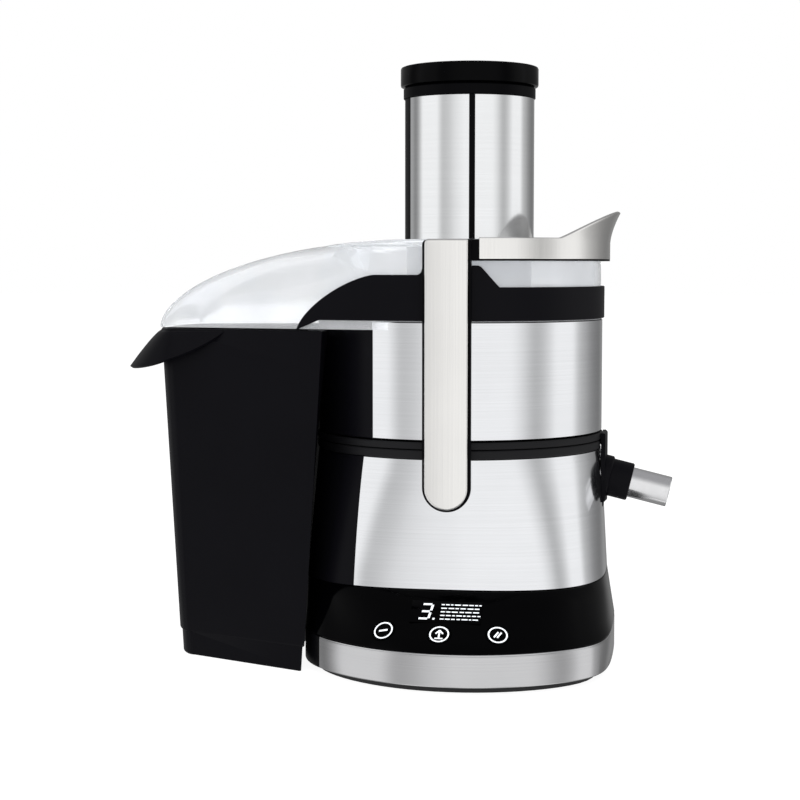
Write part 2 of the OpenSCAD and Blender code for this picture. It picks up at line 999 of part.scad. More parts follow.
// Side view of the black rim: level over the drum, raised on the bin side, swept down to the bin
rim_power = 1.45;
rim_sweep_x = 45;
rim_end_x = 99;
function rim_sweep(x) =
    dome_z0 + (rim_z2 - dome_z0)
        * pow(1 - pow((x - rim_sweep_x) / (rim_end_x - rim_sweep_x), rim_power), 1 / rim_power);

module lid_rim() {
    color(black)
        intersection() {
            difference() {
                linear_extrude(far)
                    polygon(lid_outline(lid_circles(cover_r, dome_x), lid_r - cover_r));
                linear_extrude(far)
                    polygon(lid_outline(lid_circles(cover_r, dome_x), 0.2));
            }
            translate([0, far / 2, 0])
                rotate([90, 0, 0])
                    linear_extrude(far)
                        polygon(concat(
                            [
                                [lid_r + cut, lid_z0], [lid_r + cut, rim_z1], [bail_x + 32, rim_z1],
                                [bail_x + 20, rim_z2 + 6], [bail_x - 16, rim_z2 + 6],
                                [bail_x - 18, rim_z2]
                            ],
                            [for (i = [0:10]) let (x = mix(rim_sweep_x, rim_end_x, i / 10))
                                [-x, rim_sweep(x)]],
                            [[-rim_end_x, dome_z0 - 0.2], [-84, lid_z0]]
                        ));
        }
}

sleeve_t = 1.3;
chute_tube_r = chute_r - sleeve_t - gap;
sleeve_z0 = lid_top + 0.5;
sleeve_z1 = chute_top - 7.5;
sleeve_half = 147;
stripe_dir = -81;
stripe_half = 2.6;

module chute_tube() {
    color(black)
        translate([chute_x, 0, 0])
            union() {
                ring(chute_tube_r, chute_bore_r, chute_z0, sleeve_z1);
                ring(chute_r + 0.8, chute_bore_r, sleeve_z1, chute_top);
                arc_ring(chute_r - 0.1, chute_tube_r - gap, sleeve_z0, sleeve_z1,
                    sleeve_half + 0.3, 360 - sleeve_half - 0.3);
            }
}

module chute_sleeve() {
    color(steel)
        translate([chute_x, 0, 0]) {
            arc_ring(chute_r, chute_tube_r + gap, sleeve_z0, sleeve_z1 - gap,
                -sleeve_half, stripe_dir - stripe_half);
            arc_ring(chute_r, chute_tube_r + gap, sleeve_z0, sleeve_z1 - gap,
                stripe_dir + stripe_half, sleeve_half);
        }
}

module chute_stripe() {
    color(black)
        translate([chute_x, 0, 0])
            arc_ring(chute_r - 0.2, chute_tube_r + gap, sleeve_z0, sleeve_z1 - gap,
                stripe_dir - stripe_half + 0.1, stripe_dir + stripe_half - 0.1);
}

// ---------------------------------------------------------------- pusher

pusher_r = chute_bore_r - pusher_gap;
cap_z0 = chute_top + 0.5;
module pusher_body() {
    color(black)
        translate([chute_x, 0, 0])
            difference() {
                disc(pusher_r, pusher_z0, cap_z0);
                disc(pusher_r - pusher_wall, pusher_z0 + pusher_wall, far);
            }
}

module pusher_cap() {
    color(black)
        translate([chute_x, 0, 0])
            rotate_extrude()
                polygon([
                    [0, cap_z0], [cap_r - 1.5, cap_z0], [cap_r, cap_z0 + 2],
                    [cap_r, cap_z0 + cap_h - 1], [cap_r - 1, cap_z0 + cap_h],
                    [cap_r - 5, cap_z0 + cap_h], [cap_r - 7, cap_z0 + cap_h - 3],
                    [0, cap_z0 + cap_h - 3]
                ]);
}

// ---------------------------------------------------------------- bail

core_y0 = lid_r + bail_gap;
core_y1 = core_y0 + core_t;
cover_y0 = core_y1 + gap;
cover_y1 = cover_y0 + arm_t;
arm_top = lid_top;
band_z1 = lid_top + 0.8;
band_z0 = band_z1 - band_h;
core_band_t = 1.7;
band_r0 = core_y0 + core_band_t + gap;
band_r1 = band_r0 + band_t;
band_half = 76.5;
core_half = 84;

// Upright arm slab with a round lower end about the pivot, from distance y0 to y1
module arm_slab(half_w, y0, y1, top) {
    translate([bail_x, -y0, pivot_z])
        rotate([90, 0, 0])
            union() {
                cylinder(r = half_w, h = y1 - y0);
                translate([-half_w, 0, 0])
                    cube([2 * half_w, top - pivot_z, y1 - y0]);
            }
}

module bail_core() {
    color(black)
        difference() {
            union() {
                for (s = [0, 1])
                    mirror([0, s, 0])
                        arm_slab(arm_w / 2 + core_edge, core_y0, core_y1, arm_top - 0.5);
                arc_ring(core_y0 + core_band_t, core_y0, band_z0 - 1, band_z1 - 1,
                    -core_half, core_half);
            }
            pin_holes(pin_r + 0.06);
        }
}

module bail_arm(s) {
    color(satin)
        mirror([0, s, 0])
            arm_slab(arm_w / 2, cover_y0, cover_y1, arm_top);
}
module bail_arm_front() { bail_arm(0); }
module bail_arm_rear() { bail_arm(1); }

lip_start = 76;
lip_out = 6.5;
module bail_band() {
    color(satin) {
        arc_ring(band_r1, band_r0, band_z0, band_z1, -band_half, band_half);
        intersection() {
            rotate([0, 0, -45])
                rotate_extrude(angle = 90)
                    polygon([
                        [band_r0, band_z1 - 2], [band_r1, band_z1 - 2], [band_r1 + 1, band_z1 + 6],
                        [band_r1 + lip_out, lip_z], [band_r1 + lip_out - 2.5, lip_z],
                        [band_r0 + 0.5, band_z1 + 6]
                    ]);
            translate([0, far / 2, 0])
                rotate([90, 0, 0])
                    linear_extrude(far)
                        polygon([
                            [lip_start, band_z1 - 1.9], [far, band_z1 - 1.9],
                            [far, lip_z], [band_r1 + 2, lip_z]
                        ]);
        }
    }
}

// ---------------------------------------------------------------- pulp bin

bin_nose = 209.5;
bin_nose_half = 58;
bin_nose_bulge = 19;
bin_corner = [81, 87];
nose_steps = 12;
hug_steps = nose_steps + 2;

// Plan of the bin at a share f of its height: round nose, slanted front and back, hollow side
function bin_plan(f, inset) =
    let (
        nose_x = mix(bin_nose - 12, bin_nose, f),
        nose_half = mix(bin_nose_half - 6, bin_nose_half, f),
        corner = [mix(94, bin_corner[0], f), mix(90, bin_corner[1], f)],
        bulge = mix(bin_nose_bulge - 3, bin_nose_bulge, f),
        nose = [
            for (i = [0:nose_steps])
                let (t = mix(90, 270, i / nose_steps))
                [-nose_x + inset + bulge * (1 + cos(t)), (nose_half - inset) * sin(t)]
        ],
        hug_x = mix(base_left + 7, drum_r + bin_gap, f) + inset,
        hug_y = mix(base_left + 17, drum_r + bin_gap, f) + inset,
        half = mix(40, 38, f) - inset * 0.4,
        hug = [
            for (i = [0:hug_steps])
                let (t = mix(180 + half, 180 - half, i / hug_steps))
                oval(t, hug_x, hug_y, mix(3, 2, f)) * [cos(t), sin(t)]
        ],
        corner_x = -corner[0] - inset * 1.2,
        corner_y = corner[1] - inset
    )
    concat(nose, [[corner_x, -corner_y]], hug, [[corner_x, corner_y]]);
function bin_ring(z, inset) = [for (p = bin_plan(z / bin_h, inset)) [p[0], p[1], z]];

// Strips that close a bin ring between its outer line and its hollow side
bin_points = nose_steps + 1 + hug_steps + 1 + 2;
bin_outer = concat([nose_steps + 1], [for (i = [nose_steps:-1:0]) i], [bin_points - 1]);
bin_hug = [for (i = [0:hug_steps]) nose_steps + 2 + i];
bin_caps = [
    for (j = [0:hug_steps - 1])
        each [
            [bin_outer[j], bin_hug[j], bin_hug[j + 1]],
            [bin_outer[j], bin_hug[j + 1], bin_outer[j + 1]]
        ]
];
foot_step = 1.2;

module bin_body() {
    color(black)
        difference() {
            loft_rings([
                bin_ring(0, foot_step), bin_ring(bin_foot - foot_step, foot_step),
                bin_ring(bin_foot, 0), bin_ring(bin_h, 0)
            ], bin_caps);
            loft_rings([
                bin_ring(3, bin_wall + foot_step), bin_ring(bin_h + cut, bin_wall)
            ], bin_caps);
        }
}

// Handle lip: a visor that flares down and outwards round the bin's nose, and runs out along
// its front and rear faces. Past 90 from the nose's tip a heading counts along the face.
lip_half = 128;
lip_steps = 24;
lip_run = 0.35;
function lip_point(t, out, z) =
    let (
        side = t > 180 ? -1 : 1,
        past = max(0, abs(t - 180) - 90) / (lip_half - 90) * lip_run,
        arc_x = -bin_nose + bin_nose_bulge * (1 + min(0, cos(t))),
        arc_y = bin_nose_half * (past > 0 ? side : sin(t)),
        x = mix(arc_x, -bin_corner[0], past),
        y = mix(arc_y, side * bin_corner[1], past)
    )
    [x + out * min(0, cos(t)), y + out * (past > 0 ? side : sin(t)) * 0.6, z];
function lip_flare(t) = 1 - pow(abs(t - 180) / lip_half, 3.5);

module bin_lip() {
    inner = [
        for (i = [0:lip_steps])
            let (t = 180 + lip_half * (2 * i / lip_steps - 1), k = lip_flare(t))
            [
                lip_point(t, 0.3, bin_h - 3),
                lip_point(t, 0.3, bin_h - 0.5),
                lip_point(t, 2 + (lip_reach - 1) * k, bin_h - 3 - (lip_drop - 4) * k),
                lip_point(t, 1 + (lip_reach - 2.5) * k, bin_h - 5.4 - (lip_drop - 4) * k)
            ]
    ];
    n = lip_steps + 1;
    pts = [for (row = inner, p = row) p];
    sides_f = [
        for (i = [0:n - 2], j = [0:3])
            let (a = 4 * i + j, b = 4 * i + (j + 1) % 4)
            each [[a, b, b + 4], [a, b + 4, a + 4]]
    ];
    color(black)
        polyhedron(points = pts, faces = concat(sides_f,
            [[3, 2, 1, 0], [4 * n - 4, 4 * n - 3, 4 * n - 2, 4 * n - 1]]));
}

foot_ring();
base_plate();
base_screws();
base_tray();
base_skirt();
control_panel();
display_window();
display_board();
button_boards();
button_left();
button_middle();
button_right();
motor_frame();
housing_shell();
housing_side_panel();
housing_liner();
housing_gasket();
bail_pins();
interlock_switch();
cord_gland();
shaft_seal();
upper_bearing();
lower_bearing();
upper_bracket();
lower_bracket();
motor_bolts();
motor_mounts();
stator_core();
stator_windings();
brush_holders();
carbon_brushes();
motor_shaft();
armature();
commutator();
cooling_fan();
drive_coupling();
filter_basket();
grater_disc();
basket_hub();
juice_bowl();
bowl_sleeve();
bowl_seam_ring();
bowl_gasket();
spout_socket();
spout_tube();
lid_cover();
lid_rim();
chute_tube();
chute_sleeve();
chute_stripe();
pusher_body();
pusher_cap();
bail_core();
bail_arm_front();
bail_arm_rear();
bail_band();
bin_body();
bin_lip();
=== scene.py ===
"""Centrifugal juicer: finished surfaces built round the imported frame."""
import math
import random

import bpy
from mathutils import Matrix, Vector


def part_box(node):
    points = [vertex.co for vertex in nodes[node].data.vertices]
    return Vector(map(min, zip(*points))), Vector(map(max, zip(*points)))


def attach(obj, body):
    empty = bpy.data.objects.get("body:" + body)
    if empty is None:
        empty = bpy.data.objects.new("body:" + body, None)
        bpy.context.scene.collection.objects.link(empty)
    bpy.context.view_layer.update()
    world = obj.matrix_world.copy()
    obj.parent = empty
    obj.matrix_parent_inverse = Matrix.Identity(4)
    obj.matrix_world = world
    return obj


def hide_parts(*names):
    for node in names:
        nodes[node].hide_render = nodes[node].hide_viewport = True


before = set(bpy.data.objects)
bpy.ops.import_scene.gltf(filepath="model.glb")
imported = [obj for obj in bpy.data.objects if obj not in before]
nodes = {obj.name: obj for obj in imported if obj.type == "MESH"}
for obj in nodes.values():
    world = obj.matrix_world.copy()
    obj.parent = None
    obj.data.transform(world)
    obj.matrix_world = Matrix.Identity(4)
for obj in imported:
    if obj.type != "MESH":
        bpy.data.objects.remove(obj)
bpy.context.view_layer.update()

MM = 0.001
FULL = 360.0


# ------------------------------------------------------------------ sizes, in millimetres

def levels(node):
    """Lowest and highest height of a CAD node."""
    low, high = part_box(node)
    return low.z / MM, high.z / MM


DRUM_R = 98.7
# Half angles of the steel wraps, and the join left between steel and plastic, in degrees
SKIRT_WRAP, HOUSING_WRAP, SLEEVE_WRAP, JOIN = 130.0, 123.0, 118.5, 0.3
BASE_FRONT = (9.0, 20.0, 119.0)
BASE_RIGHT, BASE_LEFT, BASE_BACK = 109.5, 104.0, 105.0
CORNER_POWER = 16
HOUSING_HALF = (103.0, 98.0)
HOUSING_SQUARE = 3.0
CHUTE_X = 6.0
BAIL_X, PIVOT_Z = 4.0, 127.5
SKIRT_Z0, SKIRT_Z1 = levels("base_skirt")
PANEL_Z0, PANEL_Z1 = levels("control_panel")
HOUSING_Z0, HOUSING_Z1 = levels("housing_shell")


def mix(a, b, t):
    return a + (b - a) * t


def cosd(t):
    return math.cos(math.radians(t))


def sind(t):
    return math.sin(math.radians(t))


def oval(t, a, b, power):
    return ((abs(cosd(t)) / a) ** power + (abs(sind(t)) / b) ** power) ** (-1 / power)


def base_edge(t):
    """Distance from the spindle to the edge of the base at heading t."""
    t = t % FULL
    x, y, r = BASE_FRONT
    along = x * cosd(t) - y * sind(t)
    front = along + math.sqrt(along * along + r * r - x * x - y * y)
    sides = [1 / front, max(0, cosd(t)) / BASE_RIGHT, max(0, -cosd(t)) / BASE_LEFT,
             max(0, sind(t)) / BASE_BACK, 1 / (BASE_LEFT + 1) if 90 < t < 180 else 0]
    return sum(s ** CORNER_POWER for s in sides) ** (-1 / CORNER_POWER)


def housing_edge(t, z):
    s = (z - HOUSING_Z0) / (HOUSING_Z1 - HOUSING_Z0)
    return oval(t, mix(HOUSING_HALF[0], DRUM_R, s), mix(HOUSING_HALF[1], DRUM_R, s),
                mix(HOUSING_SQUARE, 2, s))


# ------------------------------------------------------------------ shared modelling steps

def deselect():
    if bpy.context.mode != "OBJECT":
        bpy.ops.object.mode_set(mode="OBJECT")
    bpy.ops.object.select_all(action="DESELECT")


def focus(piece):
    deselect()
    piece.select_set(True)
    bpy.context.view_layer.objects.active = piece


def named(name):
    piece = bpy.context.object
    piece.name = name
    piece.data.name = name
    return piece


def heal(piece, fill=True):
    """Merges doubled points, closes open ends and turns every face outwards."""
    focus(piece)
    bpy.ops.object.mode_set(mode="EDIT")
    bpy.ops.mesh.select_all(action="SELECT")
    bpy.ops.mesh.remove_doubles(threshold=1e-6)
    bpy.ops.mesh.delete_loose(use_verts=True, use_edges=True, use_faces=False)
    bpy.ops.mesh.select_all(action="SELECT")
    if fill:
        bpy.ops.mesh.fill_holes(sides=0)
        bpy.ops.mesh.select_all(action="SELECT")
    bpy.ops.mesh.normals_make_consistent(inside=False)
    bpy.ops.object.mode_set(mode="OBJECT")


def sheet(name, columns, rows, place, fill=False):
    """A grid whose point (column, row) goes to place(column, row), in millimetres."""
    deselect()
    bpy.ops.mesh.primitive_grid_add(x_subdivisions=columns, y_subdivisions=rows, size=1)
    piece = named(name)
    for v in piece.data.vertices:
        u, w = round((v.co.x + 0.5) * columns), round((v.co.y + 0.5) * rows)
        v.co = Vector(place(u, w)) * MM
    heal(piece, fill)
    return piece


def swept(name, edge, profile, start=0.0, stop=FULL, steps=180):
    """A closed profile of (grow, height) carried round the spindle along edge(heading, height)."""
    def place(u, w):
        t = mix(start, stop, u / steps)
        grow, z = profile[w % len(profile)]
        r = edge(t, z) + grow
        return r * cosd(t), r * sind(t), z
    return sheet(name, steps, len(profile), place, fill=stop - start < FULL)


def turned(name, profile, at=None, start=0.0, arc=FULL, steps=120):
    """A closed profile of (radius, height) spun about the Z axis, then put at a matrix."""
    deselect()
    bpy.ops.mesh.primitive_circle_add(vertices=len(profile), radius=1, fill_type="NOTHING")
    piece = named(name)
    for v, (r, z) in zip(piece.data.vertices, profile):
        v.co = Vector((r * cosd(start), r * sind(start), z)) * MM
    bpy.ops.object.mode_set(mode="EDIT")
    bpy.ops.mesh.select_all(action="SELECT")
    bpy.ops.mesh.spin(steps=steps, angle=math.radians(arc), center=(0, 0, 0), axis=(0, 0, -1))
    heal(piece, fill=arc < FULL)
    if at:
        piece.data.transform(at)
    return piece


def slab(name, outline, depth, at=None):
    """A flat outline of (x, y), counter-clockwise, extruded upwards by depth."""
    deselect()
    bpy.ops.mesh.primitive_circle_add(vertices=len(outline), radius=1, fill_type="NGON")
    piece = named(name)
    for v, (x, y) in zip(piece.data.vertices, outline):
        v.co = Vector((x, y, 0)) * MM
    bpy.ops.object.mode_set(mode="EDIT")
    bpy.ops.mesh.select_all(action="SELECT")
    bpy.ops.mesh.extrude_region_move(TRANSFORM_OT_translate={"value": (0, 0, depth * MM)})
    heal(piece, fill=False)
    if at:
        piece.data.transform(at)
    return piece


def modify(piece, kind, **settings):
    focus(piece)
    m = piece.modifiers.new(kind.title(), kind)
    for key, value in settings.items():
        setattr(m, key, value)
    bpy.ops.object.modifier_apply(modifier=m.name)


def bevel(piece, width, segments=2, angle=35):
    modify(piece, "BEVEL", width=width * MM, segments=segments, limit_method="ANGLE",
           angle_limit=math.radians(angle), harden_normals=False)


def cut(piece, *cutters):
    for cutter in cutters:
        modify(piece, "BOOLEAN", operation="DIFFERENCE", solver="EXACT", object=cutter)
        bpy.data.objects.remove(cutter)


def joined(name, *parts):
    focus(parts[0])
    for p in parts:
        p.select_set(True)
    bpy.ops.object.join()
    return named(name)


def block(x, y, z):
    """A box cutter between two places on each axis."""
    outline = [(x[0], y[0]), (x[1], y[0]), (x[1], y[1]), (x[0], y[1])]
    return slab("cutter", outline, z[1] - z[0], Matrix.Translation((0, 0, z[0] * MM)))


def rod(r, length, at, steps=64):
    """A round cutter along +Z of a matrix, centred on it."""
    profile = [(0, -length / 2), (r, -length / 2), (r, length / 2), (0, length / 2)]
    return turned("cutter", profile, at, steps=steps)


def finish(piece, material, body, stands_for=(), angle=32):
    """Smooths a piece, gives it its material and body, and hides the CAD nodes it stands for."""
    focus(piece)
    bpy.ops.object.shade_smooth_by_angle(angle=math.radians(angle))
    piece.data.materials.clear()
    piece.data.materials.append(material)
    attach(piece, body)
    if stands_for:
        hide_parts(*stands_for)
    return piece


# ------------------------------------------------------------------ shared shading effects

def group(name, inputs, outputs):
    tree = bpy.data.node_groups.new(name, "ShaderNodeTree")
    for kind, label, value in inputs:
        s = tree.interface.new_socket(label, in_out="INPUT", socket_type=kind)
        s.default_value = value
    for kind, label in outputs:
        tree.interface.new_socket(label, in_out="OUTPUT", socket_type=kind)
    return tree, tree.nodes.new("NodeGroupInput"), tree.nodes.new("NodeGroupOutput")


def new(tree, kind, **settings):
    node = tree.nodes.new("ShaderNode" + kind)
    for key, value in settings.items():
        setattr(node, key, value)
    return node


def math_node(tree, operation, a, b, clamp=False):
    node = new(tree, "Math", operation=operation, use_clamp=clamp)
    for socket, value in zip(node.inputs, (a, b)):
        if isinstance(value, (int, float)):
            socket.default_value = value
        else:
            tree.links.new(value, socket)
    return node.outputs[0]


def noise(tree, vector, scale, detail=2.0, rough=0.5):
    node = new(tree, "TexNoise")
    node.inputs["Scale"].default_value = scale
    node.inputs["Detail"].default_value = detail
    node.inputs["Roughness"].default_value = rough
    tree.links.new(vector, node.inputs["Vector"])
    return node.outputs["Fac"]


def make_brushing():
    """Fine parallel scratches. Stretch squeezes the pattern across the scratches."""
    tree, start, end = group(
        "brushing",
        [("NodeSocketVector", "Stretch", (6, 6, 1400)),
         ("NodeSocketColor", "Metal", (0.6, 0.6, 0.6, 1)),
         ("NodeSocketFloat", "Roughness", 0.25), ("NodeSocketFloat", "Depth", 0.1)],
        [("NodeSocketColor", "Colour"), ("NodeSocketFloat", "Roughness"),
         ("NodeSocketVector", "Normal")],
    )
    place = new(tree, "TexCoord")
    stretch = new(tree, "VectorMath", operation="MULTIPLY")
    tree.links.new(place.outputs["Object"], stretch.inputs[0])
    tree.links.new(start.outputs["Stretch"], stretch.inputs[1])
    fine = noise(tree, stretch.outputs[0], 1.0, 4.0, 0.7)
    broad = noise(tree, place.outputs["Object"], 24.0, 3.0)
    shade = math_node(tree, "MULTIPLY_ADD", fine, 0.16)
    shade.node.inputs[2].default_value = 0.89
    haze = math_node(tree, "MULTIPLY_ADD", broad, 0.10)
    haze.node.inputs[2].default_value = 0.97
    both = math_node(tree, "MULTIPLY", shade, haze)
    tint = new(tree, "Mix", data_type="RGBA", blend_type="MULTIPLY")
    tint.inputs["Factor"].default_value = 1.0
    tree.links.new(start.outputs["Metal"], tint.inputs["A"])
    tree.links.new(both, tint.inputs["B"])
    tree.links.new(tint.outputs["Result"], end.inputs["Colour"])
    spread = math_node(tree, "MULTIPLY_ADD", fine, 0.08)
    tree.links.new(start.outputs["Roughness"], spread.node.inputs[2])
    lift = math_node(tree, "MULTIPLY_ADD", broad, 0.05)
    tree.links.new(spread, lift.node.inputs[2])
    tree.links.new(lift, end.inputs["Roughness"])
    bump = new(tree, "Bump")
    bump.inputs["Distance"].default_value = 0.00004
    tree.links.new(start.outputs["Depth"], bump.inputs["Strength"])
    tree.links.new(fine, bump.inputs["Height"])
    tree.links.new(bump.outputs["Normal"], end.inputs["Normal"])
    return tree


def make_grain():
    """Moulded or cast skin: a fine grain, slow unevenness and faint dust on upward faces."""
    tree, start, end = group(
        "grain",
        [("NodeSocketColor", "Base", (0.02, 0.02, 0.02, 1)), ("NodeSocketFloat", "Roughness", 0.4),
         ("NodeSocketFloat", "Scale", 900.0), ("NodeSocketFloat", "Depth", 0.1),
         ("NodeSocketFloat", "Dust", 0.1)],
        [("NodeSocketColor", "Colour"), ("NodeSocketFloat", "Roughness"),
         ("NodeSocketVector", "Normal")],
    )
    place = new(tree, "TexCoord")
    fine = new(tree, "TexNoise")
    fine.inputs["Detail"].default_value = 3.0
    tree.links.new(place.outputs["Object"], fine.inputs["Vector"])
    tree.links.new(start.outputs["Scale"], fine.inputs["Scale"])
    slow = noise(tree, place.outputs["Object"], 14.0, 4.0, 0.6)
    facing = new(tree, "NewGeometry")
    up = new(tree, "SeparateXYZ")
    tree.links.new(facing.outputs["Normal"], up.inputs[0])
    settled = math_node(tree, "MULTIPLY", up.outputs["Z"], slow, clamp=True)
    dust = math_node(tree, "MULTIPLY", settled, start.outputs["Dust"], clamp=True)
    pale = new(tree, "Mix", data_type="RGBA")
    pale.inputs["B"].default_value = (0.35, 0.35, 0.34, 1)
    tree.links.new(dust, pale.inputs["Factor"])
    vary = math_node(tree, "MULTIPLY_ADD", slow, 0.5)
    vary.node.inputs[2].default_value = 0.75
    tint = new(tree, "Mix", data_type="RGBA", blend_type="MULTIPLY")
    tint.inputs["Factor"].default_value = 1.0
    tree.links.new(start.outputs["Base"], tint.inputs["A"])
    tree.links.new(vary, tint.inputs["B"])
    tree.links.new(tint.outputs["Result"], pale.inputs["A"])
    tree.links.new(pale.outputs["Result"], end.inputs["Colour"])
    rough = math_node(tree, "MULTIPLY_ADD", slow, 0.10)
    tree.links.new(start.outputs["Roughness"], rough.node.inputs[2])
    tree.links.new(rough, end.inputs["Roughness"])
    bump = new(tree, "Bump")
    bump.inputs["Distance"].default_value = 0.0001
    tree.links.new(start.outputs["Depth"], bump.inputs["Strength"])
    tree.links.new(fine.outputs["Fac"], bump.inputs["Height"])
    tree.links.new(bump.outputs["Normal"], end.inputs["Normal"])
    return tree


BRUSHING = make_brushing()
GRAIN = make_grain()


def material(name, effect, values, **shader):
    """A Principled material whose colour, roughness and normal come from an effect group."""
    m = bpy.data.materials.new(name)
    m.use_nodes = True
    tree = m.node_tree
    skin = next(n for n in tree.nodes if n.type == "BSDF_PRINCIPLED")
    for key, value in shader.items():
        skin.inputs[key.replace("_", " ").title().replace("Ior", "IOR")].default_value = value
    g = new(tree, "Group")
    g.node_tree = effect
    for key, value in values.items():
        g.inputs[key].default_value = value
    tree.links.new(g.outputs["Colour"], skin.inputs["Base Color"])
    tree.links.new(g.outputs["Roughness"], skin.inputs["Roughness"])
    tree.links.new(g.outputs["Normal"], skin.inputs["Normal"])
    return m


def steel(name, metal, rough, stretch=(6, 6, 1400), depth=0.1):
    return material(name, BRUSHING, {"Stretch": stretch, "Metal": (*metal, 1), "Roughness": rough,
                                     "Depth": depth}, metallic=1.0)


def plastic(name, base, rough, scale=900.0, depth=0.1, dust=0.0, **shader):
    return material(name, GRAIN, {"Base": (*base, 1), "Roughness": rough, "Scale": scale,
                                  "Depth": depth, "Dust": dust}, **shader)


DRUM_STEEL = steel("drum_steel", (0.84, 0.85, 0.87), 0.08, (5, 5, 1500), 0.10)
SKIRT_STEEL = steel("skirt_steel", (0.58, 0.58, 0.59), 0.10, (5, 5, 1700), 0.16)
CHUTE_STEEL = steel("chute_steel", (0.86, 0.87, 0.88), 0.06, (5, 5, 1300), 0.08)
BAIL_STEEL = steel("bail_steel", (0.87, 0.86, 0.84), 0.16, (1300, 1300, 6), 0.08)
BRIGHT_STEEL = steel("bright_steel", (0.78, 0.78, 0.79), 0.10, (200, 200, 200), 0.03)
BEARING_STEEL = steel("bearing_steel", (0.55, 0.55, 0.57), 0.2, (500, 500, 20), 0.1)
SIEVE_STEEL = steel("sieve_steel", (0.7, 0.71, 0.72), 0.2, (300, 300, 300), 0.1)
CORE_IRON = plastic("core_iron", (0.22, 0.23, 0.25), 0.45, 700, 0.3, metallic=0.9)
WIRE = plastic("wire", (0.5, 0.2, 0.07), 0.35, 900, 0.4, metallic=0.8)
BRASS = plastic("brass", (0.6, 0.42, 0.16), 0.3, 500, 0.1, metallic=1.0)
CARBON = plastic("carbon", (0.03, 0.03, 0.032), 0.6, 1500, 0.3)
BOARD = plastic("board", (0.02, 0.14, 0.05), 0.4, 300, 0.1)
SATIN_BLACK = plastic("satin_black", (0.0030, 0.0029, 0.0042), 0.34, 1400, 0.10, 0.004,
                      specular_ior_level=0.06)
DEEP_BLACK = plastic("deep_black", (0.0015, 0.0015, 0.002), 0.30, 1400, 0.08, 0.0,
                     specular_ior_level=0.04)
GLOSS_BLACK = plastic("gloss_black", (0.0004, 0.0004, 0.0006), 0.06, 60, 0.02, 0.0,
                      specular_ior_level=0.05)
SEAL = plastic("seal", (0.005, 0.005, 0.006), 0.5, 800, 0.2, 0.01, specular_ior_level=0.2)
FOOT = plastic("foot_rubber", (0.012, 0.012, 0.013), 0.7, 800, 0.4, 0.02)
# Clear lid plastic. Its emission is a painted glow that makes the dome read white without any light
# behind it.
CLEAR_PAINTED_GLOW = plastic("clear_lid_painted_glow", (0.97, 0.98, 1.0), 0.02, 12, 0.01, 0.0,
                transmission_weight=0.8, ior=1.35, emission_color=(0.94, 0.97, 1, 1),
                emission_strength=0.085)
FROSTED = plastic("frosted_chute", (0.50, 0.52, 0.56), 0.25, 400, 0.02, 0.0,
                  transmission_weight=0.2, ior=1.4)
# White printed ink. Its emission is a painted glow that keeps the marks bright whatever light falls
# on them.
PRINT_PAINTED_GLOW = plastic("white_print_painted_glow", (0.85, 0.88, 0.9), 0.5, 900, 0.02)
PRINT_PAINTED_GLOW.node_tree.nodes["Principled BSDF"].inputs["Emission Color"].default_value = (0.9, 0.95, 1, 1)
PRINT_PAINTED_GLOW.node_tree.nodes["Principled BSDF"].inputs["Emission Strength"].default_value = 0.5


# ------------------------------------------------------------------ base

def base_line(t, z):
    return base_edge(t)


GLAND_R, GLAND_Z = 6.0, 16


def gland_hole():
    """Cutter for the cord gland's hole in the rear wall."""
    return rod(GLAND_R, 40, Matrix.Translation((0, base_edge(90) * MM, GLAND_Z * MM))
               @ Matrix.Rotation(math.pi / 2, 4, "X"))


TRAY_IN = 1.6
skirt = swept("skirt", base_line, [
    (-1.5, SKIRT_Z0), (-0.4, SKIRT_Z0), (0, SKIRT_Z0 + 0.6), (0, SKIRT_Z1 - 1.6),
    (-0.3, SKIRT_Z1 - 1.1),
    (-0.1, SKIRT_Z1 - 0.8), (-0.1, SKIRT_Z1 - 0.2), (-0.4, SKIRT_Z1), (-1.5, SKIRT_Z1),
], -SKIRT_WRAP, SKIRT_WRAP, 220)
cut(skirt, gland_hole())
finish(skirt, SKIRT_STEEL, "base", ["base_skirt"])

tray = swept("tray", base_line, [
    (-TRAY_IN - 3, SKIRT_Z0), (-TRAY_IN, SKIRT_Z0), (-TRAY_IN, SKIRT_Z1), (-TRAY_IN - 3, SKIRT_Z1),
])
cut(tray, gland_hole())
finish(tray, SATIN_BLACK, "base", ["base_tray"])
tray_side = swept("tray_side", base_line, [
    (-TRAY_IN, SKIRT_Z0), (0, SKIRT_Z0), (0, SKIRT_Z1), (-TRAY_IN, SKIRT_Z1),
], SKIRT_WRAP + 0.2, FULL - SKIRT_WRAP - 0.2, 80)
bevel(tray_side, 0.4)
finish(tray_side, DEEP_BLACK, "base")


# ------------------------------------------------------------------ sloped panel and controls

PANEL_RISE = PANEL_Z1 - PANEL_Z0


def slope_reach(t, f):
    return mix(base_edge(t), housing_edge(t, HOUSING_Z0), f)


def slope_point(t, f):
    r = slope_reach(t, f)
    return Vector((r * cosd(t), r * sind(t), PANEL_Z0 + PANEL_RISE * f))


def on_slope(x, f):
    """Matrix whose +Z leaves the sloped face at the sideways place x, with +Y to the right."""
    t = -90.0
    for _ in range(7):
        t = -math.degrees(math.acos(x / slope_reach(t, f)))
    a, b = slope_point(t - 1, f), slope_point(t + 1, f)
    facing = math.atan2(b.y - a.y, b.x - a.x) - math.pi / 2
    a, b = slope_point(t - 1, 0.5), slope_point(t + 1, 0.5)
    middle = math.atan2(b.y - a.y, b.x - a.x) - math.pi / 2
    a, b = slope_point(t, 0), slope_point(t, 1)
    run = (a.x - b.x) * math.cos(middle) + (a.y - b.y) * math.sin(middle)
    tilt = math.atan2(PANEL_RISE, run)
    return (Matrix.Translation(slope_point(t, f) * MM) @ Matrix.Rotation(facing, 4, "Z")
            @ Matrix.Rotation(tilt, 4, "Y"))


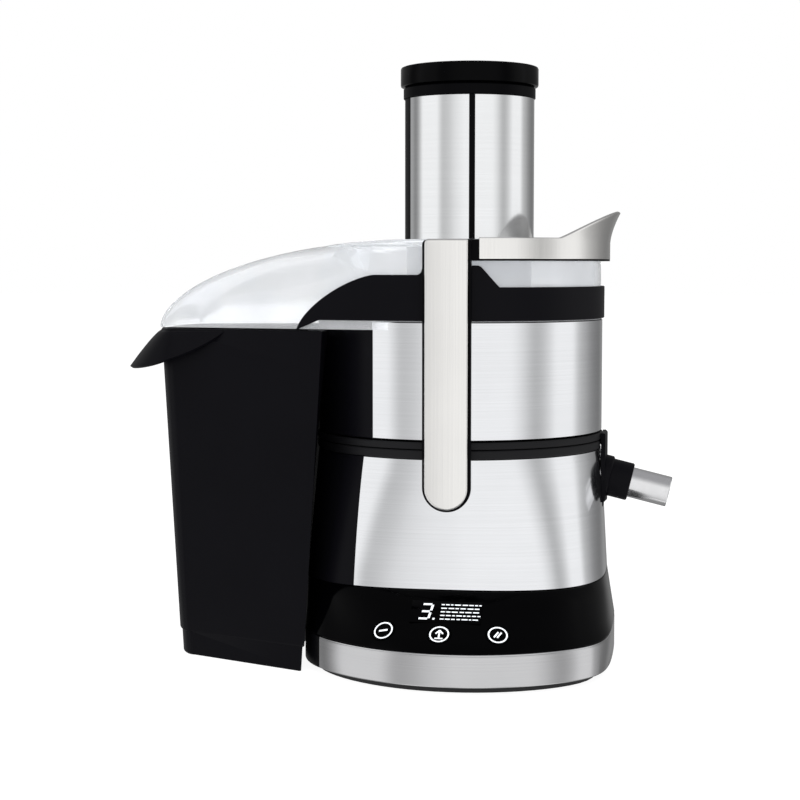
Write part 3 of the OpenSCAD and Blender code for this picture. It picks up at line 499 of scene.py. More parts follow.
def panel_place(u, w):
    """The panel's section, as (share of the slope, how far out), carried round the base."""
    profile = [(0.0, -3.5), (0.0, -0.5), (0.02, 0.0), (0.25, 0), (0.5, 0), (0.75, 0),
               (0.985, 0.0), (1.0, -0.5), (1.0, -3.0), (0.5, -3.2)]
    f, grow = profile[w % len(profile)]
    t = mix(0, FULL, u / 240)
    r = slope_reach(t, f) + grow
    return r * cosd(t), r * sind(t), PANEL_Z0 + PANEL_RISE * f


BUTTON_R = 7.6
buttons = {"button_left": -34.5, "button_middle": 2.5, "button_right": 39.5}
WINDOW_W, WINDOW_H = 46.0, 18.0
window_at = on_slope(5.0, 0.66)

panel = sheet("panel", 240, 10, panel_place)
cut(panel, *[rod(BUTTON_R + 0.35, 14, on_slope(x, 0.3)) for x in buttons.values()])
opening = block((-WINDOW_H / 2 - 0.1, WINDOW_H / 2 + 0.1),
                (-WINDOW_W / 2 - 0.1, WINDOW_W / 2 + 0.1),
                (-8, 8))
opening.data.transform(window_at)
cut(panel, opening)
finish(panel, GLOSS_BLACK, "base", ["control_panel"])

window = block((-WINDOW_H / 2, WINDOW_H / 2), (-WINDOW_W / 2, WINDOW_W / 2), (-2.4, 0))
window.name = window.data.name = "window"
window.data.transform(window_at)
bevel(window, 0.25, 2)
finish(window, GLOSS_BLACK, "base", ["display_window"])


def prints(name, shapes, at, height=0.08):
    """Printed marks: flat outlines of (right, up) in millimetres, raised by the ink's thickness."""
    return joined(name, *[slab("mark", [(-y, x) for x, y in shape], height,
                               at) for shape in shapes])


def bar(x0, y0, x1, y1, w):
    """A stroke from one point to another, w wide."""
    d = Vector((x1 - x0, y1 - y0))
    n = Vector((-d.y, d.x)).normalized() * w / 2
    return [(x0 - n.x, y0 - n.y), (x1 - n.x, y1 - n.y), (x1 + n.x, y1 + n.y), (x0 + n.x, y0 + n.y)]


def slanted(shape, lean=0.16):
    return [(x + y * lean, y) for x, y in shape]


digit = [bar(-2.8, 6, 2.8, 6, 1.5), bar(-2.2, 0, 2.8, 0, 1.5), bar(-2.8, -6, 2.8, -6, 1.5),
         bar(3.5, 0.9, 3.5, 5.6, 1.5), bar(3.5, -5.6, 3.5, -0.9, 1.5),
         bar(6.2, -6, 7.6, -6, 1.4)]
digit = [[(x - 13.5, y) for x, y in slanted(s)] for s in digit]
random.seed(4)
rows_of_bars = []
for row in range(5):
    x = 0.0
    while x < 25:
        w = random.uniform(1.4, 4.2)
        rows_of_bars.append(bar(x - 3.5, 6 - row * 3.0, min(x + w, 26) - 3.5, 6 - row * 3.0, 0.85))
        x += w + random.uniform(0.7, 1.2)
marks = prints("display_marks", digit + rows_of_bars, window_at)
finish(marks, PRINT_PAINTED_GLOW, "base")


def ring_marks(r, w, pieces=28):
    """A printed ring in short pieces."""
    def on_ring(reach, t):
        return reach * cosd(t), reach * sind(t)
    low, high = r - w / 2, r + w / 2
    out = []
    for i in range(pieces):
        a, b = FULL * i / pieces, FULL * (i + 1) / pieces
        out.append([on_ring(low, a), on_ring(high, a), on_ring(high, b), on_ring(low, b)])
    return out


glyphs = {
    "button_left": [bar(-2.8, -0.8, 2.8, 0.8, 1.3)],
    "button_middle": [bar(0, -3.4, 0, 3.4, 1.1), bar(-2.4, 0.4, 0, 3.2, 1.0),
                      bar(2.4, 0.4, 0, 3.2, 1.0),
                      bar(-2.6, -3.4, 2.6, -3.4, 1.0)],
    "button_right": [bar(-2.6, -1.8, 0.6, 2.2, 1.1), bar(-0.6, -2.2, 2.6, 1.8, 1.1)],
}
CROWN = 0.4
for node, x in buttons.items():
    at = on_slope(x, 0.3)
    body = turned(node + "_key", [
        (0, -4), (BUTTON_R, -4), (BUTTON_R, CROWN - 0.5), (BUTTON_R - 0.15, CROWN - 0.15),
        (BUTTON_R - 0.5, CROWN), (0, CROWN),
    ], at, steps=64)
    stem = turned("stem", [(0, -6.5), (1.8, -6.5), (2, -6.3), (2, -3.5), (0, -3.5)], at, steps=24)
    body = joined(node + "_key", body, stem)
    finish(body, GLOSS_BLACK, node, [node])
    face = prints(node + "_mark", ring_marks(5.9, 1.0) + glyphs[node],
                  at @ Matrix.Translation((0, 0, CROWN * MM)))
    finish(face, PRINT_PAINTED_GLOW, node)


# ------------------------------------------------------------------ lower housing

def housing_profile(outer, wall, z0, z1, chamfer, count=10):
    """Closed profile with a small rounded edge at both ends."""
    out = [(outer - wall, z0), (outer - chamfer, z0), (outer, z0 + chamfer)]
    out += [(outer, mix(z0 + chamfer, z1 - chamfer, i / count)) for i in range(1, count)]
    out += [(outer, z1 - chamfer), (outer - chamfer, z1), (outer - wall, z1)]
    out += [(outer - wall, mix(z1, z0, i / count)) for i in range(1, count)]
    return out


NOTCH_HALF, NOTCH_Z0 = 15, 105
VENT_HALF, VENT_Z0, VENT_PITCH, VENT_H, VENTS = 28, 74, 7, 3, 5


def spout_notch():
    """Cutter for the slot that the spout's flange drops into."""
    return block((50, 130), (-NOTCH_HALF, NOTCH_HALF), (NOTCH_Z0, 200))


def vent(i):
    """Cutter for one of the slots in the rear."""
    z = VENT_Z0 + VENT_PITCH * i
    return block((-VENT_HALF, VENT_HALF), (60, 140), (z, z + VENT_H))


wall_profile = housing_profile(0, 1.5, HOUSING_Z0, HOUSING_Z1, 0.5)
shell = swept("shell", housing_edge, wall_profile, -HOUSING_WRAP, HOUSING_WRAP, 240)
cut(shell, spout_notch(), *[vent(i) for i in range(VENTS)])
finish(shell, DRUM_STEEL, "base", ["housing_shell"])
side = swept("housing_side", housing_edge, wall_profile,
             HOUSING_WRAP + JOIN, FULL - HOUSING_WRAP - JOIN, 90)
finish(side, SATIN_BLACK, "base", ["housing_side_panel"])

GASKET_Z0, GASKET_Z1 = levels("housing_gasket")
gasket = turned("seam_lower", [
    (93, GASKET_Z0), (98.8, GASKET_Z0), (99.5, GASKET_Z0 + 0.5), (99.7, GASKET_Z0 + 1.4),
    (99.7, GASKET_Z1 - 1.0), (99.3, GASKET_Z1 - 0.3), (98.8, GASKET_Z1), (93, GASKET_Z1),
], steps=180)
cut(gasket, spout_notch())
finish(gasket, SEAL, "base", ["housing_gasket"])


# ------------------------------------------------------------------ bowl and spout

RING_Z0, RING_Z1 = levels("bowl_seam_ring")
seam = turned("seam_upper", [
    (92.1, RING_Z0), (98.8, RING_Z0), (99.5, RING_Z0 + 0.4), (99.7, RING_Z0 + 1.2),
    (99.7, RING_Z1 - 1.2), (99.4, RING_Z1 - 0.4), (98.9, RING_Z1), (92.1, RING_Z1),
], steps=180)
finish(seam, SEAL, "bowl", ["bowl_seam_ring"])

SLEEVE_Z0, SLEEVE_Z1 = levels("bowl_sleeve")


def drum_line(t, z):
    return DRUM_R


sleeve_profile = [(-1.6, SLEEVE_Z0), (-0.5, SLEEVE_Z0), (0, SLEEVE_Z0 + 0.5), (0, SLEEVE_Z1 - 0.5),
                  (-0.5, SLEEVE_Z1), (-1.6, SLEEVE_Z1)]
sleeve = swept("drum_sleeve", drum_line, sleeve_profile, -SLEEVE_WRAP, SLEEVE_WRAP, 240)
finish(sleeve, DRUM_STEEL, "bowl", ["bowl_sleeve"])

BOWL_Z0, BOWL_Z1 = levels("juice_bowl")
bowl_top = BOWL_Z1 - 0.3
bowl = turned("bowl_wall", [
    (25, BOWL_Z0), (91, BOWL_Z0), (92, BOWL_Z0 + 1), (92, 156), (97, 157), (97, bowl_top - 0.4),
    (96.6, bowl_top), (94.9, bowl_top), (94.5, bowl_top - 0.4), (94.5, 159), (89.5, 153),
    (89.5, BOWL_Z0 + 8), (88, BOWL_Z0 + 5), (85, BOWL_Z0 + 4), (27.5, BOWL_Z0 + 7),
    (27.5, BOWL_Z0 + 19.5), (27, BOWL_Z0 + 20), (25.5, BOWL_Z0 + 20), (25, BOWL_Z0 + 19.5),
], steps=180)
SPOUT_X, SPOUT_Z, SPOUT_FALL, SPOUT_BORE = 90.0, 127.8, 13.5, 10.6
SPOUT_AT = (Matrix.Translation((SPOUT_X * MM, 0, SPOUT_Z * MM))
            @ Matrix.Rotation(math.radians(90 + SPOUT_FALL), 4, "Y"))
cut(bowl, rod(SPOUT_BORE, 60, SPOUT_AT))
finish(bowl, SATIN_BLACK, "bowl", ["juice_bowl"])
bowl_side = swept("bowl_side", drum_line, sleeve_profile,
                  SLEEVE_WRAP + JOIN, FULL - SLEEVE_WRAP - JOIN, 90)
finish(bowl_side, SATIN_BLACK, "bowl")

SPOUT_LEN = 57.0
tube = turned("spout_pipe", [
    (9.3, 4), (10.5, 4), (10.5, SPOUT_LEN - 0.5), (10.2, SPOUT_LEN - 0.1), (9.9, SPOUT_LEN),
    (9.6, SPOUT_LEN - 0.1), (9.3, SPOUT_LEN - 0.5),
], SPOUT_AT, steps=96)
finish(tube, BRIGHT_STEEL, "bowl", ["spout_tube"])
collar = turned("spout_collar", [
    (SPOUT_BORE, 10), (14.6, 10), (14.6, 14.5), (14.2, 15.2), (13.1, 15.8), (13.1, 29),
    (12.6, 29.8),
    (11.9, 30), (SPOUT_BORE, 30),
], SPOUT_AT, steps=96)
finish(collar, SATIN_BLACK, "bowl", ["spout_socket"])


FLANGE_R, FLANGE_HALF = 103.1, 14.65
FLANGE_Z0, FLANGE_Z1 = levels("spout_socket")


def flange_line(t, z):
    return FLANGE_R


flange_half = math.degrees(math.asin(FLANGE_HALF / FLANGE_R))
flange = swept("spout_saddle", flange_line, [
    (-3.0, FLANGE_Z0 + 0.2), (-0.8, FLANGE_Z0 + 0.2), (0, FLANGE_Z0 + 1), (0, FLANGE_Z1 - 1),
    (-0.8, FLANGE_Z1 - 0.2), (-3.0, FLANGE_Z1 - 0.2),
], -flange_half, flange_half, 24)
cut(flange, rod(SPOUT_BORE, 60, SPOUT_AT))
finish(flange, SATIN_BLACK, "bowl")


# ------------------------------------------------------------------ basket

basket = turned("sieve_basket", [
    (8, 150), (53, 150), (53.6, 150.6), (81.2, 224), (84, 224), (84, 226), (80, 226),
    (52.2, 151.4),
    (8, 151.2),
], steps=144)
finish(basket, SIEVE_STEEL, "basket", ["filter_basket"])


# ------------------------------------------------------------------ lid

COVER_R, LID_TOP, DOME_Z0, DOME_X = 97.5, 287.5, 228.5, 209.0
DOME_START = 46.0
CROWN_POWER = 1.8
TAIL_R, TAIL_HALF = 24.0, 58.0
SHOULDER, NOSE_ROUND = 3.7, 26.0


def crown(f):
    return DOME_START + (DOME_X - DOME_START) * (1 - f ** CROWN_POWER) ** (1 / CROWN_POWER)


def lid_outline(r, x, narrow, drum_steps, line_steps, tail_steps, end_steps, grow=0.0):
    """Half-plan points of a lid level, from the drum's spout side round the rear to the nose."""
    cx, cy = -x + TAIL_R, TAIL_HALF - TAIL_R - narrow
    reach = math.hypot(cx, cy)
    lean = math.degrees(math.acos(min(1.0, (r - TAIL_R) / reach)))
    tangent = math.degrees(math.atan2(cy, cx)) - lean
    points = [((r + grow) * cosd(tangent * i / drum_steps),
               (r + grow) * sind(tangent * i / drum_steps))
              for i in range(drum_steps)]
    a = Vector((cosd(tangent), sind(tangent))) * (r + grow)
    b = Vector((cx, cy)) + Vector((cosd(tangent), sind(tangent))) * (TAIL_R + grow)
    points += [tuple(a.lerp(b, i / line_steps)) for i in range(line_steps)]
    points += [(cx + (TAIL_R + grow) * cosd(mix(tangent, 180, i / tail_steps)),
                cy + (TAIL_R + grow) * sind(mix(tangent, 180, i / tail_steps)))
               for i in range(tail_steps)]
    points += [(cx - TAIL_R - grow, mix(cy, 0, i / end_steps)) for i in range(end_steps + 1)]
    return points


DOME_ROWS = 28


def dome_level(w):
    f = sind(90 * w / DOME_ROWS)
    half = lid_outline(COVER_R - SHOULDER * f ** 8, max(crown(f), 62.0), 22 * f ** 3, 40, 18, 10,
                       6)
    half = [(max(x, NOSE_ROUND * (y / COVER_R) ** 2 - crown(f)), y) for x, y in half]
    ring = half + [(x, -y) for x, y in reversed(half[1:-1])]
    return [(x, y, DOME_Z0 + (LID_TOP - DOME_Z0) * f) for x, y in ring]


dome_rings = [dome_level(w) for w in range(DOME_ROWS + 1)]
ring_size = len(dome_rings[0])
dome = sheet("dome", ring_size, DOME_ROWS, lambda u, w: dome_rings[w][u % ring_size])
focus(dome)
bpy.ops.object.mode_set(mode="EDIT")
bpy.ops.mesh.select_all(action="DESELECT")
bpy.ops.object.mode_set(mode="OBJECT")
top_edge = (LID_TOP - 0.01) * MM
for e in dome.data.edges:
    e.select = all(dome.data.vertices[i].co.z > top_edge for i in e.vertices)
bpy.ops.object.mode_set(mode="EDIT")
bpy.ops.mesh.select_mode(type="EDGE")
bpy.ops.mesh.edge_face_add()
bpy.ops.mesh.select_mode(type="VERT")
bpy.ops.mesh.select_all(action="SELECT")
bpy.ops.mesh.normals_make_consistent(inside=False)
bpy.ops.object.mode_set(mode="OBJECT")
modify(dome, "SOLIDIFY", thickness=2.4 * MM, offset=-1, use_even_offset=True)
cut(dome, rod(43.6, 200, Matrix.Translation((CHUTE_X * MM, 0, 0.28))))
finish(dome, CLEAR_PAINTED_GLOW, "lid", ["lid_cover"], 40)

RIM_Z0, RIM_Z1, RIM_Z2 = 234.6, 256.5, 264.5
RIM_END, RIM_SWEEP, RIM_POWER = 99.0, 45.0, 1.45


def rim_top(x):
    if x < -RIM_SWEEP:
        k = min(1.0, (-x - RIM_SWEEP) / (RIM_END - RIM_SWEEP))
        return DOME_Z0 + (RIM_Z2 - DOME_Z0) * (1 - k ** RIM_POWER) ** (1 / RIM_POWER)
    if x < BAIL_X - 18:
        return RIM_Z2
    if x < BAIL_X + 20:
        return RIM_Z2 + 6 * min(1.0, (x - BAIL_X + 18) / 2)
    return mix(RIM_Z2 + 6, RIM_Z1, min(1.0, (x - BAIL_X - 20) / 12))


def rim_bottom(x):
    return mix(RIM_Z0, DOME_Z0 - 0.2, min(1.0, max(0.0, (-x - 84) / (RIM_END - 84))))


half_path = [p for p in lid_outline(COVER_R, DOME_X, 0, 90, 160, 6, 2) if p[0] > -RIM_END]
half_path.append((-RIM_END, half_path[-1][1] - (half_path[-1][0] + RIM_END) * 0.29))
path = [(x, -y) for x, y in reversed(half_path[1:])] + half_path


def rim_place(u, w):
    x, y = path[u]
    a, b = Vector(path[max(0, u - 1)]), Vector(path[min(len(path) - 1, u + 1)])
    n = Vector(((b - a).y, -(b - a).x)).normalized()
    out = (0.2, 2.0, 2.5, 2.5, 2.0, 0.2)[w % 6]
    low, high = rim_bottom(x), max(rim_top(x), rim_bottom(x) + 0.4)
    ease = min(0.5, (high - low) / 2)
    z = (low, low, low + ease, high - ease, high, high)[w % 6]
    return x + n.x * out, y + n.y * out, z


rim = sheet("lid_collar", len(path) - 1, 6, rim_place, fill=True)
finish(rim, SATIN_BLACK, "lid", ["lid_rim"])

CHUTE_AT = Matrix.Translation((CHUTE_X * MM, 0, 0))
TUBE_Z0, TUBE_Z1 = levels("chute_tube")
inner = turned("chute_throat", [
    (39.5, TUBE_Z0 + 0.4), (39.9, TUBE_Z0), (43.0, TUBE_Z0), (43.4, TUBE_Z0 + 0.4),
    (43.4, TUBE_Z1 - 7.5),
    (39.5, TUBE_Z1 - 7.5),
], CHUTE_AT, steps=128)
finish(inner, FROSTED, "lid", ["chute_tube"])
mouth = turned("chute_mouth", [
    (39.5, TUBE_Z1 - 7.5), (45.2, TUBE_Z1 - 7.5), (45.6, TUBE_Z1 - 7.1), (45.6, TUBE_Z1 - 0.9),
    (44.8, TUBE_Z1), (40.2, TUBE_Z1), (39.5, TUBE_Z1 - 0.7),
], CHUTE_AT, steps=128)
finish(mouth, DEEP_BLACK, "lid")
STEEL_Z0, STEEL_Z1 = levels("chute_sleeve")
STRIPE_DIR, STRIPE_HALF, SLEEVE_HALF = -81.0, 2.6, 147.0
chute_profile = [(43.5, STEEL_Z0), (44.5, STEEL_Z0), (44.8, STEEL_Z0 + 0.4),
                 (44.8, STEEL_Z1 - 0.4),
                 (44.5, STEEL_Z1), (43.5, STEEL_Z1)]
front_wrap = turned("chute_wrap_left", chute_profile, CHUTE_AT, -SLEEVE_HALF,
                    STRIPE_DIR - STRIPE_HALF + SLEEVE_HALF, 60)
back_wrap = turned("chute_wrap_right", chute_profile, CHUTE_AT, STRIPE_DIR + STRIPE_HALF,
                   SLEEVE_HALF - STRIPE_DIR - STRIPE_HALF, 120)
finish(front_wrap, CHUTE_STEEL, "lid", ["chute_sleeve"])
finish(back_wrap, CHUTE_STEEL, "lid")
dark_profile = [(43.5, STEEL_Z0), (44.4, STEEL_Z0), (44.6, STEEL_Z0 + 0.3), (44.6, STEEL_Z1 - 0.3),
                (44.4, STEEL_Z1), (43.5, STEEL_Z1)]
stripe = turned("chute_seam", dark_profile, CHUTE_AT, STRIPE_DIR - STRIPE_HALF + 0.1,
                2 * STRIPE_HALF - 0.2, 6)
finish(stripe, DEEP_BLACK, "lid", ["chute_stripe"])
edge = turned("chute_back", dark_profile, CHUTE_AT, SLEEVE_HALF + 0.3,
              FULL - 2 * SLEEVE_HALF - 0.6, 40)
finish(edge, DEEP_BLACK, "lid")


# ------------------------------------------------------------------ pusher

CAP_Z0, CAP_Z1 = levels("pusher_cap")
CAP_R = 47.6
cap = turned("pusher_lid", [
    (0, CAP_Z0), (CAP_R - 1.2, CAP_Z0), (CAP_R - 0.3, CAP_Z0 + 0.5), (CAP_R, CAP_Z0 + 1.4),
    (CAP_R, CAP_Z1 - 1.4), (CAP_R - 0.4, CAP_Z1 - 0.4), (CAP_R - 1.4, CAP_Z1),
    (CAP_R - 4.6, CAP_Z1),
    (CAP_R - 5.6, CAP_Z1 - 0.4), (CAP_R - 6.4, CAP_Z1 - 1.6), (CAP_R - 7.2, CAP_Z1 - 2.7),
    (CAP_R - 9, CAP_Z1 - 3.0), (0, CAP_Z1 - 3.0),
], CHUTE_AT, steps=144)
finish(cap, GLOSS_BLACK, "pusher", ["pusher_cap"])
STEM_Z0 = levels("pusher_body")[0]
stem = turned("pusher_stem", [
    (0, STEM_Z0), (37.2, STEM_Z0), (38.4, STEM_Z0 + 0.5), (38.9, STEM_Z0 + 1.7),
    (38.9, CAP_Z0 - 0.1),
    (36.4, CAP_Z0 - 0.1), (36.4, STEM_Z0 + 3.5), (0, STEM_Z0 + 2.5),
], CHUTE_AT, steps=128)
finish(stem, SATIN_BLACK, "pusher", ["pusher_body"])


# ------------------------------------------------------------------ bail

ARM_W, ARM_TOP = 28.0, 287.5
CORE_Y0, CORE_Y1, COVER_Y0, COVER_Y1 = 101.8, 105.8, 105.9, 109.5


def arm(name, half, top, y0, y1, round_over, top_round):
    """An upright slab with a round lower end about the pivot, y0 to y1 in front of the spindle."""
    outline = [(half * cosd(t), half * sind(t)) for t in range(180, 361, 6)]
    h = top - PIVOT_Z
    outline += [(half, h - top_round * 0.3), (half - top_round * 0.3, h)]
    outline += [(-half + top_round * (1 - sind(90 * i / 6)),
                 h - top_round * (1 - cosd(90 * i / 6)))
                for i in range(7)]
    at = (Matrix.Translation((BAIL_X * MM, -y0 * MM, PIVOT_Z * MM)) @ Matrix.Rotation(math.pi / 2,
                                                                                      4, "X"))
    piece = slab(name, outline, y1 - y0, at)
    bevel(piece, round_over, 4, 50)
    return piece


def reversed_copy(piece, name):
    """A copy mirrored to the rear, with its own mesh."""
    twin = piece.copy()
    twin.data = piece.data.copy()
    bpy.context.collection.objects.link(twin)
    twin.name = twin.data.name = name
    twin.data.transform(Matrix.Scale(-1, 4, (0, 1, 0)))
    heal(twin, fill=False)
    return twin


front_core = arm("core_front", ARM_W / 2 + 1.8, ARM_TOP - 0.5, CORE_Y0, CORE_Y1, 0.6, 3.0)
rear_core = reversed_copy(front_core, "core_rear")
finish(front_core, DEEP_BLACK, "bail", ["bail_core"])
finish(rear_core, DEEP_BLACK, "bail")
front_arm = arm("arm_front", ARM_W / 2, ARM_TOP, COVER_Y0, COVER_Y1, 1.5, 3.0)
rear_arm = reversed_copy(front_arm, "arm_rear")
finish(front_arm, BAIL_STEEL, "bail", ["bail_arm_front"])
finish(rear_arm, BAIL_STEEL, "bail", ["bail_arm_rear"])

BAND_Z0, BAND_Z1 = 274.5, 288.3
BAND_R0, BAND_R1, BAND_HALF = 103.6, 106.3, 76.5
LIP_START, LIP_Z, LIP_OUT = 76.0, 308.0, 6.5
CORE_BAND_R = 103.5
core_band = swept("core_band", lambda t, z: CORE_BAND_R, [
    (-1.7, BAND_Z0 - 1), (0, BAND_Z0 - 1), (0, BAND_Z1 - 1), (-1.7, BAND_Z1 - 1)], -84, 84, 120)
finish(core_band, DEEP_BLACK, "bail")
BAND_ROWS = 14


def band_place(u, w):
    t = mix(-BAND_HALF, BAND_HALF, u / 180)
    x = BAND_R1 * cosd(t)
    rise = min(1.0, max(0.0, (x - LIP_START) / (BAND_R1 + 2 - LIP_START)))
    top = BAND_Z1 + (LIP_Z - BAND_Z1) * rise ** 1.15
    z = mix(BAND_Z0, top, w / BAND_ROWS)
    flare = max(0.0, (z - BAND_Z1 + 3) / (LIP_Z - BAND_Z1 + 3))
    r = BAND_R0 + (LIP_OUT + 1.2) * flare ** 1.6
    return r * cosd(t), r * sind(t), z


band = sheet("bail_strap", 180, BAND_ROWS, band_place)
modify(band, "SOLIDIFY", thickness=2.2 * MM, offset=1, use_even_offset=True)
bevel(band, 0.6, 3, 50)
finish(band, BAIL_STEEL, "bail", ["bail_band"])


# ------------------------------------------------------------------ pulp bin

BIN_H, BIN_FOOT, BIN_WALL, NOSE_STEPS, HUG_STEPS = 227.5, 18.0, 2.6, 48, 40

BIN_NOSE, NOSE_HALF, NOSE_BULGE = 209.5, 58.0, 19.0


def bin_plan(f, inset):
    nose_x, nose_half = BIN_NOSE - 12 * (1 - f), NOSE_HALF - 6 * (1 - f)
    corner, bulge = (mix(94, 81, f), mix(90, 87, f)), NOSE_BULGE - 3 * (1 - f)
    nose = [(-nose_x + inset + bulge * (1 + cosd(t)), (nose_half - inset) * sind(t))
            for t in (mix(90, 270, i / NOSE_STEPS) for i in range(NOSE_STEPS + 1))]
    hug_x, hug_y = mix(BASE_LEFT + 7, DRUM_R + 5, f) + inset, mix(BASE_LEFT + 17, DRUM_R + 5,
                                                                  f) + inset
    half = mix(40, 38, f) - inset * 0.4
    hug = [(oval(t, hug_x, hug_y, mix(3, 2, f)) * cosd(t),
            oval(t, hug_x, hug_y, mix(3, 2, f)) * sind(t))
           for t in (mix(180 + half, 180 - half, i / HUG_STEPS) for i in range(HUG_STEPS + 1))]
    cx, cy = -corner[0] - inset * 1.2, corner[1] - inset
    return nose + [(cx, -cy)] + hug + [(cx, cy)]


FOOT_STEP = 1.2
bin_levels = [(0, FOOT_STEP + 0.8), (0.8, FOOT_STEP), (BIN_FOOT - 1.4, FOOT_STEP),
              (BIN_FOOT - 0.6, 0.2),
              (BIN_FOOT, 0)]
bin_levels += [(mix(BIN_FOOT, BIN_H - 0.7, i / 8), 0) for i in range(1, 9)]
bin_levels += [(BIN_H, 0.7), (BIN_H, 1.9), (BIN_H - 0.7, BIN_WALL)]
bin_levels += [(mix(BIN_H - 0.7, 6, i / 8), BIN_WALL) for i in range(1, 9)] + [(3, BIN_WALL + 3)]
bin_rings = [[(x, y, z) for x, y in bin_plan(z / BIN_H, inset)] for z, inset in bin_levels]
bin_size = len(bin_rings[0])
bin_shell = sheet("bin_shell", bin_size, len(bin_levels) - 1, lambda u,
                  w: bin_rings[w][u % bin_size],
                  fill=True)
bevel(bin_shell, 1.4, 3, 48)
finish(bin_shell, SATIN_BLACK, "bin", ["bin_body"], 30)

LIP_COLUMNS, LIP_ROWS, LIP_HALF, LIP_RUN = 96, 12, 128.0, 0.35


def lip_place(u, w):
    """The visor: round the nose, then past 90 degrees from its tip along the front and rear faces."""
    t = 180 + LIP_HALF * (2 * u / LIP_COLUMNS - 1)
    k = max(0.0, 1 - (abs(t - 180) / LIP_HALF) ** 3.5)
    s = w / LIP_ROWS
    out = 0.3 + 24.5 * k * s ** 0.92
    drop = (26 * s ** 1.15) * k
    side = -1 if t > 180 else 1
    past = max(0.0, abs(t - 180) - 90) / (LIP_HALF - 90) * LIP_RUN
    across = side if past > 0 else sind(t)
    x = mix(-BIN_NOSE + NOSE_BULGE * (1 + min(0.0, cosd(t))), -81, past)
    y = mix(NOSE_HALF * across, side * 87, past)
    return x + out * min(0.0, cosd(t)), y + out * across * 0.6, BIN_H - 1.4 - drop


lip = sheet("bin_visor", LIP_COLUMNS, LIP_ROWS, lip_place)
modify(lip, "SOLIDIFY", thickness=2.2 * MM, offset=-1)
bevel(lip, 0.5, 2, 50)
finish(lip, SATIN_BLACK, "bin", ["bin_lip"])


# ------------------------------------------------------------------ finishes of the other frame parts

finishes = {
    SATIN_BLACK: ["motor_frame", "housing_liner", "interlock_switch", "cooling_fan",
                  "drive_coupling", "basket_hub"],
    FOOT: ["foot_ring", "cord_gland", "motor_mounts", "shaft_seal", "bowl_gasket"],
    DEEP_BLACK: ["base_plate"],
    BRIGHT_STEEL: ["base_screws", "bail_pins", "motor_shaft"],
    BEARING_STEEL: ["upper_bearing", "lower_bearing", "motor_bolts"],
    CORE_IRON: ["upper_bracket", "lower_bracket", "stator_core", "armature"],
    WIRE: ["stator_windings", "commutator"],
    BRASS: ["brush_holders"],
    CARBON: ["carbon_brushes"],
    BOARD: ["display_board", "button_boards"],
    SIEVE_STEEL: ["grater_disc"],
}
for look, members in finishes.items():
    for node in members:
        nodes[node].data.materials.clear()
        nodes[node].data.materials.append(look)


# ------------------------------------------------------------------ studio

def stage_floor():
    deselect()
    bpy.ops.mesh.primitive_plane_add(size=30)
    floor = named("floor")
    pale = bpy.data.materials.new("pale_floor")
    pale.use_nodes = True
    skin = pale.node_tree.nodes["Principled BSDF"]
    skin.inputs["Base Color"].default_value = (0.3, 0.3, 0.3, 1)
    skin.inputs["Roughness"].default_value = 0.9
    skin.inputs["Specular IOR Level"].default_value = 0.0
    skin.inputs["Emission Color"].default_value = (1, 1, 1, 1)
    skin.inputs["Emission Strength"].default_value = 0.93
    floor.data.materials.append(pale)
    floor.visible_glossy = False


# Brightness of the studio round the juicer, as (share of a turn from the rear, light).
# The front is at 0.5; narrow dark flags between wide lights give steel its upright bands.
STUDIO = [(0.00, 0.25), (0.05, 0.30), (0.10, 0.30), (0.18, 0.38), (0.215, 0.27), (0.245, 0.60),
          (0.275, 1.15), (0.33, 1.30), (0.375, 0.72), (0.40, 0.62), (0.44, 0.80), (0.50, 1.02),
          (0.62, 1.06), (0.66, 0.80), (0.70, 0.54), (0.765, 1.15), (0.79, 1.15), (0.82, 0.66),
          (0.865, 0.36), (0.93, 0.20), (0.975, 0.30), (1.00, 0.25)]


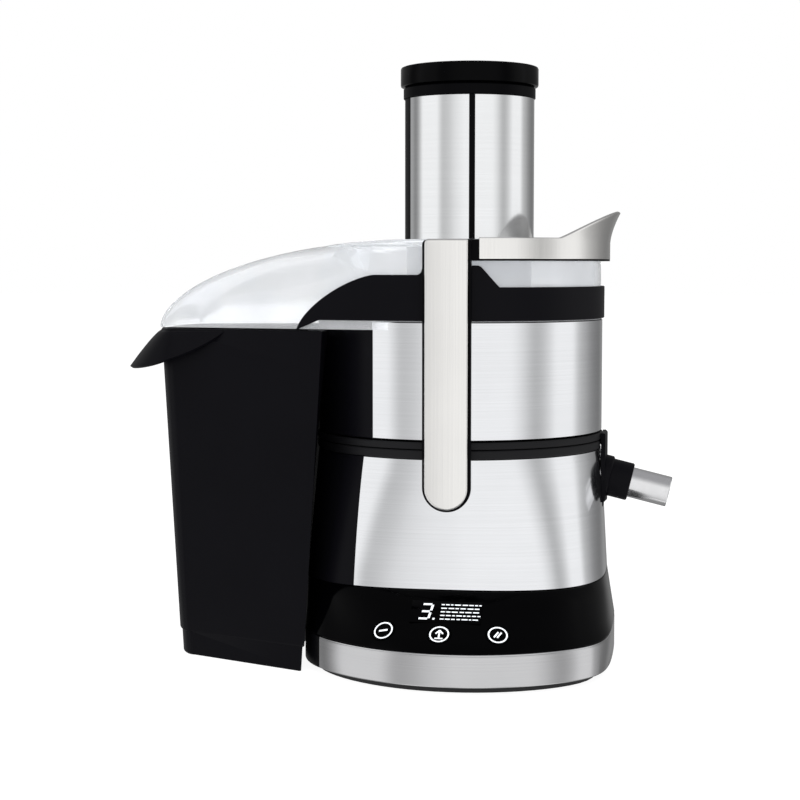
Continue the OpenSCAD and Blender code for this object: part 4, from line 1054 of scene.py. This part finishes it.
def studio_world():
    world = bpy.data.worlds.new("studio")
    bpy.context.scene.world = world
    world.use_nodes = True
    tree = world.node_tree
    tree.nodes.clear()
    place = new(tree, "TexCoord")
    split = new(tree, "SeparateXYZ")
    tree.links.new(place.outputs["Generated"], split.inputs[0])
    heading = new(tree, "Math", operation="ARCTAN2")
    back = math_node(tree, "MULTIPLY", split.outputs["Y"], -1.0)
    tree.links.new(split.outputs["X"], heading.inputs[0])
    tree.links.new(back, heading.inputs[1])
    share = math_node(tree, "MULTIPLY_ADD", heading.outputs[0], 1 / (2 * math.pi))
    share.node.inputs[2].default_value = 0.5
    ramp = new(tree, "ValToRGB")
    ramp.color_ramp.interpolation = "CARDINAL"
    stops = ramp.color_ramp.elements
    for i, (at, value) in enumerate(STUDIO):
        stop = stops[i] if i < 2 else stops.new(at)
        stop.position = at
        stop.color = (value, value, value, 1)
    tree.links.new(share, ramp.inputs[0])
    zenith = new(tree, "Mix", data_type="RGBA")
    height = new(tree, "MapRange", interpolation_type="SMOOTHSTEP")
    height.inputs["From Min"].default_value = 0.35
    height.inputs["From Max"].default_value = 0.95
    tree.links.new(split.outputs["Z"], height.inputs["Value"])
    tree.links.new(height.outputs["Result"], zenith.inputs["Factor"])
    tree.links.new(ramp.outputs["Color"], zenith.inputs["A"])
    zenith.inputs["B"].default_value = (0.4, 0.4, 0.41, 1)
    light = new(tree, "Background")
    tree.links.new(zenith.outputs["Result"], light.inputs["Color"])
    light.inputs["Strength"].default_value = 1.0
    sky = new(tree, "Background")
    sky.inputs["Color"].default_value = (1, 1, 1, 1)
    seen = new(tree, "LightPath")
    choose = new(tree, "MixShader")
    tree.links.new(seen.outputs["Is Camera Ray"], choose.inputs[0])
    tree.links.new(light.outputs[0], choose.inputs[1])
    tree.links.new(sky.outputs[0], choose.inputs[2])
    out = new(tree, "OutputWorld")
    tree.links.new(choose.outputs[0], out.inputs["Surface"])


def softbox(name, at, aim, width, height, power):
    data = bpy.data.lights.new(name, "AREA")
    data.shape = "RECTANGLE"
    data.size, data.size_y, data.energy = width, height, power
    lamp = bpy.data.objects.new(name, data)
    lamp.visible_glossy = False
    bpy.context.collection.objects.link(lamp)
    lamp.location = at
    lamp.rotation_euler = (Vector(aim) - Vector(at)).to_track_quat("-Z", "Y").to_euler()


stage_floor()
studio_world()
softbox("overhead", (0.1, -0.5, 1.9), (0, 0, 0.1), 2.2, 1.6, 16)
softbox("left_front", (-1.6, -1.2, 0.9), (0, 0, 0.2), 0.6, 1.4, 6)

DISTANCE, TURN, AIM_LEFT, PITCH = 1.228, 7.0, 1.97, 4.36
camera_data = bpy.data.cameras.new("camera")
camera_data.lens = 78.93
camera_data.sensor_width = 36
camera = bpy.data.objects.new("camera", camera_data)
bpy.context.collection.objects.link(camera)
camera.location = (DISTANCE * sind(TURN), -DISTANCE * cosd(TURN), 0.270)
look = Vector((-sind(TURN + AIM_LEFT) * cosd(PITCH), cosd(TURN + AIM_LEFT) * cosd(PITCH),
               -sind(PITCH)))
camera.rotation_euler = look.to_track_quat("-Z", "Y").to_euler()
bpy.context.scene.camera = camera
bpy.context.scene.view_settings.view_transform = "Standard"
